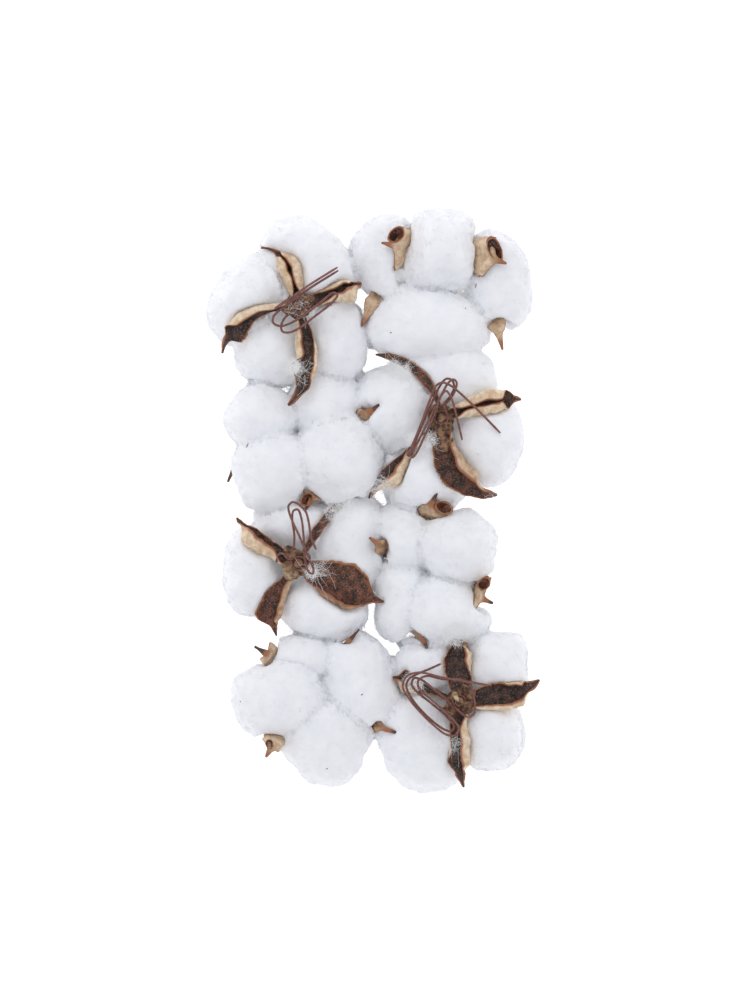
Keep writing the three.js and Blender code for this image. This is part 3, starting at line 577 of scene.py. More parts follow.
# Loose lint that lies over the burrs: middle, half width, short fibres and long hairs
TUFTS = [
    (-39, 97, 6, 30, 20), (-41, 66.5, 3.5, 1000, 5), (-37, 64, 6, 40, 25), (-32, -36.5, 3, 200, 20),
    (-28.5, -33.5, 4.5, 80, 30), (-20, -6, 5, 400, 20), (-14, -1, 4, 400, 20), (9, 66, 4, 600, 10),
    (14, 63.5, 4, 500, 10), (2, 7, 5, 300, 20), (20, 30, 4, 300, 10), (62, 3, 4, 60, 20),
    (40, -67, 6, 700, 10), (38.5, -122, 4, 100, 25), (19, -91, 5, 600, 10), (27, 30, 4, 300, 10),
    (12.8, 112.5, 3, 600, 5), (44, 104.5, 3, 300, 5),
]

# Flecks of leaf and hull caught in the cotton: middle, length and heading
FLECKS = [
    (50.5, 107.5, 3.4, 75), (8, 83.5, 1.3, 20), (45, 95.5, 1, 60), (-64, 26.5, 4.4, 65),
    (-67, -100.5, 1, 0), (-6.5, -97, 1.3, 30), (-24, -134, 1, 10), (27, -8.5, 0.9, 80),
]

# Under a boll that lies cotton up, the wire is folded flat beneath the burr: along, across, height
HANK_BEFORE = [
    (34, 3.4, 2.4), (0, 4.6, 2.4), (-15, 4.4, 2.2), (-17, 3.4, 2), (-15.4, 2.4, 1.8), (0, 3, 1.4),
    (17, 2.6, 1), (19, 1, 0.9), (17, -0.6, 0.9), (6, 0, 1.6), (4.2, 1.2, 3),
]
HANK_AFTER = [
    (-4.4, -3.6, 1.8), (-14, -4.2, 1), (-16.4, -5.4, 0.9), (-14, -6.6, 0.9), (4, -5.6, 1.2),
    (24, -5.2, 1.2),
]


def unit(v):
    return v / np.linalg.norm(v, axis=-1, keepdims=True)


def mix(a, b, t):
    return a + (b - a) * t


def smooth(x, low, high):
    """From 0 to 1 between low and high, which may be the same"""
    span = high - low if high != low else 1
    t = np.clip((x - low) / span, 0, 1)
    return t * t * (3 - 2 * t)


def smooth_at(x, place, stretch):
    """From 0 to 1 over a stretch that begins before a place and ends past it"""
    before, past = stretch
    return smooth(x, place - before, place + past)


def towards(degrees):
    a = np.radians(degrees)
    return np.stack([np.cos(a), np.sin(a), np.zeros_like(a)], axis=-1)


def rough(points, size, seed=0.0):
    """Smooth noise of -1 to 1 at each point, with bumps of a given size"""
    shift = Vector((seed, 2.3 * seed, -seed))
    return np.array([noise.noise(Vector(p) / size + shift) for p in points])


@dataclass
class Shell:
    """A closed surface: points, faces, the faces' material numbers and a value for its shaders"""

    points: np.ndarray
    faces: list
    material: np.ndarray = None
    place: np.ndarray = None

    def __post_init__(self):
        if self.material is None:
            self.material = np.zeros(len(self.faces), int)
        if self.place is None:
            self.place = np.zeros((len(self.points), 3))
        if self.volume() < 0:
            self.faces = [face[::-1] for face in self.faces]

    def volume(self):
        triangles = [(f[0], f[i], f[i + 1]) for f in self.faces for i in range(1, len(f) - 1)]
        a, b, c = self.points[np.array(triangles)].transpose(1, 0, 2)
        return (a * np.cross(b, c)).sum()


def ring_shell(rings, **values):
    """A closed surface from rows of points: each row is a ring, and a strip closes the ends"""
    rows, across = rings.shape[:2]
    this = np.arange(across)
    start = across * np.arange(rows - 1)[:, None]
    after = (this + 1) % across
    near, far = start + this, start + after
    sides = np.stack([near, far, far + across, near + across], axis=-1)
    k = np.arange(across // 2 - 1)
    cap = np.stack([k, k + 1, across - 2 - k, across - 1 - k], axis=-1)
    faces = np.concatenate([sides.reshape(-1, 4), cap[:, ::-1], cap + (rows - 1) * across])
    return Shell(rings.reshape(-1, 3), faces.tolist(), **values)


def sideways(along):
    """A unit way at right angles to each way given"""
    return unit(np.cross(along, NEARLY_UP))


def spokes(along, across, sides):
    """Unit ways out from a line's points, all round it"""
    third = np.cross(along, across)
    turn = 2 * np.pi * np.arange(sides) / sides
    return np.cos(turn)[None, :, None] * across[:, None] + np.sin(turn)[None, :, None] * third[:, None]


def tube(path, radii, sides):
    """A round bar along a path, with frames carried from step to step so that it doesn't twist"""
    along = unit(np.gradient(path, axis=0))
    across = np.zeros_like(along)
    across[0] = sideways(along[0])
    for i in range(1, len(path)):
        across[i] = unit(across[i - 1] - along[i] * (across[i - 1] @ along[i]))
    return ring_shell(path[:, None] + radii[:, None, None] * spokes(along, across, sides))


def joined(shells):
    """The points and the faces of several shells as one"""
    offsets = np.cumsum([0] + [len(shell.points) for shell in shells])
    faces = []
    for shell, offset in zip(shells, offsets):
        faces += [[i + offset for i in face] for face in shell.faces]
    return np.concatenate([shell.points for shell in shells]), faces


def add_object(name, data):
    made = bpy.data.objects.new(name, data)
    bpy.context.scene.collection.objects.link(made)
    return made


def make_piece(name, shells, materials):
    """One mesh object from shells, in the frame, riding on the bunch"""
    points, faces = joined(shells)
    mesh = bpy.data.meshes.new(name)
    mesh.from_pydata(((points - MIDDLE) * MM).tolist(), [], faces)
    mesh.polygons.foreach_set("material_index", np.concatenate([shell.material for shell in shells]))
    place = mesh.attributes.new("place", "FLOAT_VECTOR", "POINT")
    place.data.foreach_set("vector", np.concatenate([shell.place for shell in shells]).ravel())
    mesh.shade_smooth()
    for material in materials:
        mesh.materials.append(material)
    piece = add_object(name, mesh)
    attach(piece, "root")
    return piece


def dress(node, shells, materials):
    """A piece that takes the place of a solid"""
    piece = make_piece(node + "_dressed", shells, materials)
    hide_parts(node)


def tree_of(shells):
    """Surfaces in the form that rays are cast at"""
    points, faces = joined(shells)
    return BVHTree.FromPolygons(points.tolist(), faces)


# Wood

def midline(boll, carpel, s):
    """Where a carpel's midline is, s of the way from the burr's middle to the tip"""
    lift = carpel.lift
    # Four control points: their heights, and their shares of the reach
    if boll.open == UP:
        lifts, shares = [0, -0.06 * lift, 1.15 * lift, lift], [0, 0.8, 0.56, 1]
    else:
        lifts, shares = [0, 1.5, lift + 3, lift], [0, 0.35, 0.72, 1]
    weights = np.stack([(1 - s) ** 3, 3 * s * (1 - s) ** 2, 3 * s * s * (1 - s), s**3])
    out = mix(START, carpel.reach, np.array(shares)) @ weights
    up = boll.open * (np.array(lifts) @ weights + carpel.sunk * np.sin(np.pi * s) ** 2)
    heading = carpel.heading + carpel.sweep * s**carpel.hook
    return boll.middle + out[..., None] * towards(heading) + up[..., None] * Z


def directions(boll, carpel, s):
    """At each station: back to the stalk side, and across to the left"""
    step = 0.01
    ahead = midline(boll, carpel, np.minimum(s + step, 1))
    along = unit(ahead - midline(boll, carpel, np.maximum(s - step, 0)))
    back = unit(boll.stalkward - along * (along @ boll.stalkward)[:, None])
    return back, -boll.open * np.cross(back, along)


def half_width(carpel, edge, s):
    """From the midline to an edge: a blade that ends in a beak"""
    grown = np.sin(np.minimum(s / edge.widest, 1) * np.pi / 2) ** edge.grow
    blade = edge.half * mix(BASE_SHARE, 1, grown)
    narrowed = mix(blade, carpel.thorn, smooth(s, edge.widest, carpel.beak))
    beak = mix(carpel.thorn, TIP_WIDTH, (s - carpel.beak) / (1 - carpel.beak))
    return np.where(s < carpel.beak, narrowed, beak)


def roll_share(edge, s):
    """How much of its full roll an edge has"""
    begun = mix(ROLL_AT_HUB, 1, smooth_at(s, edge.first, ROLL_GROWS))
    return begun * mix(1, ROLL_AT_TIP, smooth_at(s, edge.last, ROLL_FADES))


def half_sections(half, roll, onset):
    """From the midline to an edge, for each station: distances out and up, and the wall's slope"""
    v = np.arange(CARPEL_CELLS + 1) / CARPEL_CELLS
    middles = (v[1:] + v[:-1]) / 2
    slope = (roll[:, None] + KEEL) * v**onset - KEEL
    between = (roll[:, None] + KEEL) * middles**onset - KEEL
    cell = half[:, None] / CARPEL_CELLS
    nothing = np.zeros((len(half), 1))
    out = np.concatenate([nothing, np.cumsum(cell * np.cos(between), axis=1)], axis=1)
    up = np.concatenate([nothing, np.cumsum(cell * np.sin(between), axis=1)], axis=1)
    return out, up, slope, np.broadcast_to(v, out.shape)


def waves_along(s, number, seed):
    return rough(np.stack([s * number, s * 0, s * 0], axis=1), 1, seed)


def wrinkles(points, seed):
    return sum(height * rough(points, size, seed) for size, height in WRINKLES)


def carpel_shell(boll, carpel, seed):
    s = np.linspace(0, 1, CARPEL_STATIONS)
    back, side = directions(boll, carpel, s)
    origin = midline(boll, carpel, s)
    rows = []
    for hand, edge in ((-1, carpel.right), (1, carpel.left)):
        wave = waves_along(s, RIM_WAVES, seed + hand)
        ripple = waves_along(s, RIM_RIPPLES, seed - hand)
        ragged = mix(*RIPPLE_WIDTH, smooth_at(s, carpel.beak, RIPPLE_GROWS))
        half = half_width(carpel, edge, s) * (1 + WAVE_WIDTH * wave + ragged * ripple)
        curl = np.radians(edge.roll) * roll_share(edge, s) * (1 + WAVE_ROLL * wave)
        out, up, slope, v = half_sections(half, curl, edge.onset)
        row = np.stack([hand * out, up, hand * np.sin(slope), np.cos(slope), v], axis=-1)
        rows.append(row[:, :0:-1] if hand < 0 else row)
    out, up, tilt, level, v = np.concatenate(rows, axis=1).transpose(2, 0, 1)
    keel = out == 0
    tilt = np.where(keel, 0, tilt)
    level = np.where(keel, 1, level)
    middle = origin[:, None] + out[..., None] * side[:, None] + up[..., None] * back[:, None]
    normal = level[..., None] * back[:, None] - tilt[..., None] * side[:, None]
    wrinkle = wrinkles(middle.reshape(-1, 3), seed).reshape(out.shape)
    middle = middle + normal * (wrinkle * smooth(s, *WRINKLE_GROWS)[:, None])[..., None]
    swollen = mix(1, BEAK_THICK, smooth_at(s, carpel.beak, BEAK_SWELL))
    swollen = swollen * mix(1, BEAK_TAPER, smooth(s, carpel.beak + BEAK_SWELL[1], 1))
    thick = (swollen[:, None] * mix(WALL, RIM, v**3) / 2)[..., None] * normal
    rings = np.concatenate([middle + thick, (middle - thick)[:, ::-1]], axis=1)
    across = v.shape[1]
    along = np.broadcast_to((s / carpel.beak)[:, None], v.shape)
    place = np.stack([along, v, np.full_like(v, carpel.red)], axis=-1)
    lining = np.tile(np.arange(2 * across) >= across - 1, CARPEL_STATIONS - 1).astype(int)
    caps = np.zeros(2 * (across - 1), int)
    return ring_shell(
        rings,
        material=np.concatenate([lining, caps]),
        place=np.concatenate([place, place[:, ::-1]], axis=1).reshape(-1, 3),
    )


def septum_shell(boll, carpel):
    """The rib inside a carpel that its locks are parted by"""
    share = np.linspace(0, 1, SEPTUM_STATIONS)
    s = mix(*SEPTUM_REACH, share)
    back, side = directions(boll, carpel, s)
    depth = SEPTUM_DEPTH * np.sin(mix(*SEPTUM_ARC, share)) + SEPTUM_LEAST
    middle = midline(boll, carpel, s)
    rings = [middle + a * side - (down * depth)[:, None] * back for a, down in SEPTUM_SECTION]
    return ring_shell(np.stack(rings, axis=1))


def fence_shell(boll, carpel):
    """A sheet over a carpel's midline, unseen, that the cotton is kept from crossing"""
    s = np.linspace(*FENCE_REACH, FENCE_STATIONS)
    back, side = directions(boll, carpel, s)
    foot = midline(boll, carpel, s)
    other = foot + FENCE_THICK * side
    corners = [foot, other, other + FENCE * back, foot + FENCE * back]
    return ring_shell(np.stack(corners, axis=1))


def gnarled(points, bumps, seed):
    """Points pushed about by noise of several sizes and heights"""
    moved = points
    for size, height in bumps:
        push = [rough(points, size, seed + axis) for axis in BUMP_SEEDS]
        moved = moved + height * np.stack(push, axis=1)
    return moved


def lathe_shell(boll, profile, sides, bumps, seed):
    """A solid of revolution about a burr's stalk, its skin roughened"""
    turn = 360 * np.arange(sides) / sides
    radius, height = np.array(profile, float).T
    rings = radius[:, None, None] * towards(turn)[None] + height[:, None, None] * boll.stalkward
    moved = gnarled(rings.reshape(-1, 3), bumps, seed).reshape(rings.shape)
    return ring_shell(boll.middle + moved)


def knob_shell(knob, seed):
    ways, faces, _ = ball(KNOB_CELLS)
    points = gnarled(ways * [knob.wide, knob.wide, knob.tall], KNOB_BUMPS, seed)
    place = np.full((len(points), 3), knob.pale)
    material = np.full(len(faces), WOOD)
    return Shell(points + [knob.x, knob.y, knob.z], faces, material, place)


def cup_shell(boll, carpel, cup, seed):
    """An ear that opens towards the boll's open side, dark inside: the bottom of its hollow has the dark
    bark finish as painted shade
    """
    tip, before = midline(boll, carpel, np.array([1, CUP_HEADING]))
    ahead = unit((tip - before) * [1, 1, 0])
    aside = np.cross(Z, ahead)
    centre = tip - cup.back * ahead + cup.aside * aside + CUP_RAISED * boll.open * Z
    turn = 2 * np.pi * np.arange(CUP_SIDES) / CUP_SIDES
    bend = math.radians(cup.turn)
    long_way = math.cos(bend) * ahead + math.sin(bend) * aside
    wide_way = math.cos(bend) * aside - math.sin(bend) * ahead
    loop = cup.long * np.cos(turn)[:, None] * long_way + cup.wide * np.sin(turn)[:, None] * wide_way
    width, depth, rim = np.array(CUP_PROFILE).T
    rings = width[:, None, None] * loop[None] + (CUP_DEPTH * depth)[:, None, None] * boll.open * Z
    outward = np.sign(cup.aside) * loop @ aside
    rings[..., 2] += CUP_TILT * boll.open * outward
    moved = gnarled(rings.reshape(-1, 3), CUP_BUMPS, seed)
    rims = np.repeat(rim, CUP_SIDES)
    place = np.stack([np.full_like(rims, CUP_SHADE), rims, np.ones_like(rims)], axis=1)
    # The rows at the bottom of the hollow take the dark bark finish, which is painted shade; the rest are
    # pale
    pale = np.repeat(np.arange(len(CUP_PROFILE) - 1) >= CUP_PAINTED_SHADE_ROWS, CUP_SIDES).astype(int)
    caps = np.zeros(CUP_SIDES - 2, int)
    return ring_shell(
        (centre + moved).reshape(rings.shape), material=np.concatenate([pale, caps]), place=place
    )


def burr_shells(boll, seed):
    shells = [carpel_shell(boll, carpel, seed + CARPEL_SEED * i) for i, carpel in enumerate(boll.carpels)]
    shells += [septum_shell(boll, carpel) for carpel in boll.carpels]
    shells += [cup_shell(boll, carpel, cup, seed) for carpel in boll.carpels for cup in carpel.cups]
    shells += [knob_shell(knob, seed + i) for i, knob in enumerate(boll.knobs)]
    receptacle = lathe_shell(boll, RECEPTACLE, RECEPTACLE_SIDES, RECEPTACLE_BUMPS, seed)
    stub = lathe_shell(boll, STUB, STUB_SIDES, STUB_BUMPS, seed + 1)
    for shell in (receptacle, stub):
        shell.material[:] = WOOD
    return shells + [receptacle, stub]


# Wire

def wrap_points(boll, heading, turns):
    """The turns round the stub, climbing as they go"""
    steps = math.ceil(turns * WRAP_STEPS)
    turned = np.arange(steps + 1) / steps * turns
    rise = WIRE_WRAP + (2 * WIRE_RADIUS + WRAP_GAP) * (turned - 0.5)
    radius = STUB_RADIUS + WIRE_GAP + WIRE_RADIUS
    return boll.middle + radius * towards(heading + 360 * turned) + rise[:, None] * boll.stalkward


def hank_points(boll, ends):
    along, across, height = np.array(ends, float).T
    level = np.array([boll.at[0], boll.at[1], 0])
    flat = along[:, None] * towards(boll.hank) + across[:, None] * towards(boll.hank + 90)
    return level + flat + height[:, None] * Z


def wire_points(boll):
    if boll.wire:
        wrap = wrap_points(boll, *boll.wire.turn)
        return np.concatenate([boll.wire.before, wrap, boll.wire.after])
    wrap = wrap_points(boll, boll.hank + HANK_TURN, HANK_TURNS)
    return np.concatenate([hank_points(boll, HANK_BEFORE), wrap, hank_points(boll, HANK_AFTER)])


def spline(points, steps):
    """A centripetal Catmull-Rom curve through the points"""
    ends = np.concatenate([[2 * points[0] - points[1]], points, [2 * points[-1] - points[-2]]])
    t = (np.arange(steps) / steps)[:, None]
    curve = []
    for p0, p1, p2, p3 in zip(ends, ends[1:], ends[2:], ends[3:]):
        d0, d1, d2 = (np.linalg.norm(b - a) ** 0.5 for a, b in ((p0, p1), (p1, p2), (p2, p3)))
        m1 = ((p1 - p0) / d0 - (p2 - p0) / (d0 + d1) + (p2 - p1) / d1) * d1
        m2 = ((p2 - p1) / d1 - (p3 - p1) / (d1 + d2) + (p3 - p2) / d2) * d1
        hermite = (2 * t**3 - 3 * t**2 + 1) * p1 + (t**3 - 2 * t**2 + t) * m1
        curve.append(hermite + (3 * t**2 - 2 * t**3) * p2 + (t**3 - t**2) * m2)
    return np.concatenate([*curve, points[-1:]])


def wire_shell(boll):
    path = spline(wire_points(boll), WIRE_STEPS)
    radii = (WIRE_RADIUS + WIRE_COAT) * (1 + WIRE_ROUGH * rough(path, WIRE_BUMP, WIRE_SEED))
    radii[[0, -1]] *= WIRE_END
    return tube(path, radii, WIRE_SIDES)


# Cotton

def ball(cells):
    """Points spread evenly on a unit ball, its faces and its edges"""
    bm = bmesh.new()
    bmesh.ops.create_cube(bm, size=2)
    bmesh.ops.subdivide_edges(bm, edges=bm.edges[:], cuts=cells - 1, use_grid_fill=True)
    cube = np.array([v.co for v in bm.verts])
    faces = [[v.index for v in face.verts] for face in bm.faces]
    edges = np.array([[v.index for v in edge.verts] for edge in bm.edges])
    bm.free()
    return unit(np.tan(cube * np.pi / 4)), faces, edges


def free_radius(lock, d, wider=0):
    """A lock's radius when nothing presses on it, made wider but no taller"""
    a = math.radians(lock.heading)
    local = np.stack([d @ [math.cos(a), math.sin(a), 0], d @ [-math.sin(a), math.cos(a), 0]], axis=1)
    flat = (np.abs(local / [lock.along, lock.across]) ** lock.square).sum(axis=1) ** (1 / lock.square)
    stretch = np.hypot(flat / (1 + wider), d[:, 2] / lock.tall)
    lumps = sum(np.sin(w * d[:, axis] + k * lock.seed) for axis, (w, k) in enumerate(LUMP_WAVES))
    return (1 + LUMP * lumps) / stretch


@dataclass
class Pressed:
    """A lock among its neighbours: the flat places where it presses on them, and the way to the
    middle of its boll"""

    lock: Lock
    inward: np.ndarray
    heart: float
    walls: list
    near: list


def press(one, boll, locks):
    """Finds the walls between a lock and its neighbours, midway between their surfaces"""
    walls, near = [], []
    for other in locks:
        normal = other.centre - one.centre
        apart = np.linalg.norm(normal)
        if other is one or apart > FAR_APART:
            continue
        normal = normal / apart
        mine = free_radius(one, normal[None])[0]
        theirs = free_radius(other, -normal[None])[0]
        share = smooth(mine + theirs - apart, -NEIGHBOURLY, -CLOSE)
        if share > 0:
            walls.append((normal, (apart + mine - theirs) / 2, share))
            near.append(other)
    return Pressed(one, boll.middle - one.centre, HEART[boll.open], walls, near)


def facing_share(d, way):
    """How much a direction, seen from above, goes the way given"""
    level = unit(d * [1, 1, 0] + 1e-9)
    return smooth(level @ unit(way * [1, 1, 0]), *FACING)


def outside(pressed, points):
    """How far points are outside a lock that is wider where it has neighbours"""
    offset = points - pressed.lock.centre
    distance = np.linalg.norm(offset, axis=1)
    d = offset / distance[:, None]
    wider = pressed.heart * facing_share(d, pressed.inward)
    for normal, _, share in pressed.walls:
        wider = np.maximum(wider, SPREAD * share * facing_share(d, normal))
    return distance - free_radius(pressed.lock, d, wider)


def joined_radius(one, near, d):
    """How far a lock reaches, its surface running softly into its neighbours' at the walls"""
    low, high = (np.full(len(d), radius) for radius in RADII)
    for _ in range(BISECTIONS):
        middle = (low + high) / 2
        points = one.lock.centre + middle[:, None] * d
        depths = np.stack([outside(other, points) for other in (one, *near)])
        depth = -FILLET * np.log(np.exp(-np.clip(depths, -STEEPEST, STEEPEST) / FILLET).sum(axis=0))
        if near:
            past = (depths[0] - depths[1:].min(axis=0)) / 2
            allowed = mix(-WALL_GAP, MINGLE, smooth(depth, -SKIN[0], -SKIN[1]))
            depth = np.maximum(depth + SINK * np.maximum(past, 0), DIVE * (past - allowed))
        low, high = np.where(depth < 0, middle, low), np.where(depth < 0, high, middle)
    return (low + high) / 2


def hit_limit(centre, d, reach, woody):
    """How far a lock can go in each direction before it meets wood or wire"""
    hits = [woody.ray_cast(Vector(centre), Vector(way), far)[3] for way, far in zip(d, reach)]
    return np.array([np.inf if hit is None else hit - BURR_GAP for hit in hits])


def neighbours_mean(values, edges):
    total = np.zeros_like(values)
    count = np.zeros(len(values))
    for a, b in (edges.T, edges.T[::-1]):
        np.add.at(total, a, values[b])
        np.add.at(count, a, 1)
    return total / count


def lowest_near(values, edges):
    """The lowest of each value and those next to it"""
    a, b = edges.T
    lowest = values.copy()
    np.minimum.at(lowest, a, values[b])
    np.minimum.at(lowest, b, values[a])
    return lowest


def settle(radius, limit, d, edges):
    """Cotton sinks beside what dents it: it rises from a dent no steeper than DIMPLE_SLOPE"""
    a, b = edges.T
    held = np.minimum(radius, lowest_near(limit, edges))
    for _ in range(DIMPLE_ROUNDS):
        step = DIMPLE_SLOPE * np.linalg.norm(d[a] - d[b], axis=1) * held[a]
        np.minimum.at(held, a, held[b] + step)
        np.minimum.at(held, b, held[a] + step)
    dent = radius - held
    for _ in range(SOOTHING_ROUNDS):
        dent = np.maximum(mix(dent, neighbours_mean(dent, edges), SOOTHING), radius - limit)
    return radius - dent


def lock_points(one, near, woody, d, edges):
    """A lock's skin, and at each point which way a neighbour lies close by"""
    centre = one.lock.centre
    radius = joined_radius(one, near, d)
    limit = hit_limit(centre, d, radius + FEELER, woody)
    limit = -lowest_near(-lowest_near(limit, edges), edges)  # cotton doesn't swell through a slit
    radius = settle(radius, limit, d, edges)
    surface = centre + d * radius[:, None]
    level = (1 - d[:, 2] ** 2) ** OUTLINE_POWER
    for size, height, more in PUFFS:
        radius = radius + (height + more * level) * rough(surface, size)
    radius = np.maximum(np.minimum(radius, limit), LEAST_RADIUS)
    points = centre + d * radius[:, None]
    points[:, 2] = np.maximum(points[:, 2], 0)
    reach = np.zeros_like(points)
    for normal, distance, share in one.walls:
        beside = (points - centre) @ normal
        near_wall = smooth(beside, distance - SEAM[0], distance - SEAM[1])
        reach = reach + share * near_wall[:, None] * normal
    return points, reach


def spike_shell(roots, ways, lengths, radii):
    """Fibres as thin spikes, each a closed shell of four triangles"""
    feet = roots[:, None] + radii[:, None, None] * spokes(ways, sideways(ways), 3)
    tips = roots + lengths[:, None] * ways
    points = np.concatenate([feet, tips[:, None]], axis=1)
    points[..., 2] = np.maximum(points[..., 2], FIBRE_FLOOR)
    corners = np.array([(0, 1, 3), (1, 2, 3), (2, 0, 3), (2, 1, 0)])
    faces = 4 * np.arange(len(roots))[:, None, None] + corners
    return Shell(points.reshape(-1, 3), faces.reshape(-1, 3).tolist())


def fuzz_shell(points, reach, faces, draw):
    """Loose fibres that stand off a lock's skin, most where it turns down, and across its seams"""
    quads = np.array(faces)
    corner = points[quads]
    normals = np.cross(corner[:, 2] - corner[:, 0], corner[:, 3] - corner[:, 1])
    areas = np.linalg.norm(normals, axis=1)
    normals = normals / np.maximum(areas, 1e-9)[:, None]
    over = reach[quads].mean(axis=1)
    steep = 1 - np.abs(normals[:, 2])
    above = mix(FIBRE_BELOW, 1, smooth(normals[:, 2], FIBRE_TURN, 0))
    share = areas * (FIBRE_LEVEL + steep + np.linalg.norm(over, axis=1)) * above
    chosen = draw.choice(len(quads), FIBRES, p=share / share.sum())
    weights = draw.dirichlet([1, 1, 1, 1], FIBRES)
    roots = (corner[chosen] * weights[..., None]).sum(axis=1)
    normal = normals[chosen]
    tangent = unit(np.cross(normal, draw.normal(size=(FIBRES, 3))))
    stand = draw.uniform(*FIBRE_STAND, (FIBRES, 1))
    ways = unit(tangent + normal * stand + FIBRE_LEAN * over[chosen])
    lengths = draw.uniform(*FIBRE_LENGTH, FIBRES)
    radii = draw.uniform(*FIBRE_RADII, FIBRES)
    return spike_shell(roots - FIBRE_ROOT * normal, ways, lengths, radii)


# Lint and flecks

def height_at(ground, x, y):
    """How high the bunch is at a place in its plan"""
    hit = ground.ray_cast(Vector((x, y, TOP)), Vector((0, 0, -1)))[0]
    return 0 if hit is None else hit.z


def hair_shell(x, y, ground, draw):
    """A long hair that wanders over what is below it"""
    bend = draw.normal(0, LINT_BEND, LINT_STEPS).cumsum() + draw.uniform(0, 360)
    length = draw.uniform(*LINT_LENGTH) / LINT_STEPS
    path = np.concatenate([[[0, 0, 0]], (length * towards(bend)).cumsum(axis=0)])
    plan = np.array([x, y, 0]) + path
    heights = np.array([height_at(ground, *point[:2]) for point in plan])
    padded = np.concatenate([heights[:1], heights, heights[-1:]])
    plan[:, 2] = np.maximum(heights, (padded[:-2] + padded[2:]) / 2) + draw.uniform(*LINT_HEIGHT)
    return tube(plan, np.full(LINT_STEPS + 1, LINT_RADIUS), LINT_SIDES)


def fluff_shell(x, y, wide, number, ground, draw):
    """Short straight fibres, heaped"""
    out = wide * np.sqrt(draw.uniform(0, 1, (number, 1)))
    feet = (x, y) + out * towards(draw.uniform(0, 360, number))[:, :2]
    lengths = draw.uniform(*FLUFF_LENGTH, number)
    ways = towards(draw.uniform(0, 360, number))
    ends = feet + lengths[:, None] * ways[:, :2]
    low = np.array([height_at(ground, *foot) for foot in feet]) + draw.uniform(*LINT_HEIGHT, number)
    high = np.array([height_at(ground, *end) for end in ends]) + draw.uniform(*LINT_HEIGHT, number)
    ways[:, 2] = np.clip(high - low, -FLUFF_RISE, FLUFF_RISE) / lengths
    roots = np.column_stack([feet, low])
    return spike_shell(roots, ways, lengths, draw.uniform(*FLUFF_RADII, number))


def lint_shells(ground, draw):
    shells = []
    for x, y, wide, fluff, hairs in TUFTS:
        shells.append(fluff_shell(x, y, wide, fluff, ground, draw))
        for spot in draw.normal((x, y), wide / 2, (hairs, 2)):
            shells.append(hair_shell(*spot, ground, draw))
    return shells


def fleck_shell(x, y, length, heading, ground):
    middle = np.array([x, y, height_at(ground, x, y)])
    path = middle + np.linspace(-0.5, 0.5, len(FLECK_RADII))[:, None] * length * towards(heading)
    return tube(path, np.array(FLECK_RADII), FLECK_SIDES)


# Materials

def set_inputs(made, values):
    for name, value in values.items():
        made.inputs[name].default_value = value


def shader(name, values):
    material = bpy.data.materials.new(name)
    material.use_nodes = True
    tree = material.node_tree
    skin = tree.nodes["Principled BSDF"]
    set_inputs(skin, values)
    return material, tree, skin


def node(tree, kind, values=None, **settings):
    made = tree.nodes.new("ShaderNode" + kind)
    for name, value in settings.items():
        setattr(made, name, value)
    set_inputs(made, values or {})
    return made


def linear(red, green, blue):
    """A colour given as it looks on a screen, 0 to 255"""
    return (*(((c / 255 + 0.055) / 1.055) ** 2.4 for c in (red, green, blue)), 1)


def blend(tree, factor, first, second):
    """A colour that goes from first to second, which are colours or sockets"""
    made = node(tree, "Mix", data_type="RGBA")
    for socket, value in ((0, factor), (6, first), (7, second)):
        if isinstance(value, bpy.types.NodeSocket):
            tree.links.new(value, made.inputs[socket])
        else:
            made.inputs[socket].default_value = value
    return made.outputs[2]


def ramp(tree, value, low, high):
    limits = {"From Min": low, "From Max": high}
    made = node(tree, "MapRange", limits, interpolation_type="SMOOTHSTEP")
    tree.links.new(value, made.inputs["Value"])
    return made.outputs["Result"]


def speckle(tree, per_metre, detail):
    where = node(tree, "TexCoord")
    made = node(tree, "TexNoise", {"Scale": per_metre, "Detail": detail})
    tree.links.new(where.outputs["Object"], made.inputs["Vector"])
    return made.outputs["Fac"]


def layered(tree, colour, layers):
    """A colour under others, each showing where a value goes from low to high"""
    for value, low, high, over in layers:
        colour = blend(tree, ramp(tree, value, low, high), colour, linear(*over))
    return colour


def finished(material, tree, skin, colour, height, strength, distance):
    """A material with its colour and its relief, which is distance metres high"""
    made = node(tree, "Bump", {"Strength": strength, "Distance": distance})
    tree.links.new(height, made.inputs["Height"])
    tree.links.new(made.outputs["Normal"], skin.inputs["Normal"])
    tree.links.new(colour, skin.inputs["Base Color"])
    return material


def cotton_material():
    material, tree, skin = shader("cotton", {
        "Roughness": 0.95, "Sheen Weight": 0.6, "Sheen Roughness": 0.6, "Specular IOR Level": 0.1,
    })
    cloudy = ramp(tree, speckle(tree, 160, 4), 0.3, 0.7)
    colour = blend(tree, cloudy, linear(244, 245, 249), linear(249, 250, 253))
    return finished(material, tree, skin, colour, speckle(tree, 900, 5), 0.35, 0.0006)


def lint_material():
    """The lint glows: a dim base colour under a white emission, painted light that keeps it bright where
    it is shaded. It stands in for the light that thin cotton lets through from all sides, so that it
    looks brighter than its shading
    """
    return shader("lint", {
        "Roughness": 0.95, "Specular IOR Level": 0.1, "Base Color": linear(150, 151, 153),
        # Painted light: a white emission, so that the lint glows as no lamp does
        "Emission Color": linear(252, 253, 255), "Emission Strength": 0.5,
    })[0]


def place_values(tree):
    """How far along the carpel a point is, from 0 to 1 where the beak begins, how far from its midline,
    and how reddish the carpel is, which also darkens its lining: partly a real tan, partly painted shade"""
    source = node(tree, "Attribute", attribute_name="place")
    parts = node(tree, "SeparateXYZ")
    tree.links.new(source.outputs["Vector"], parts.inputs[0])
    return parts.outputs


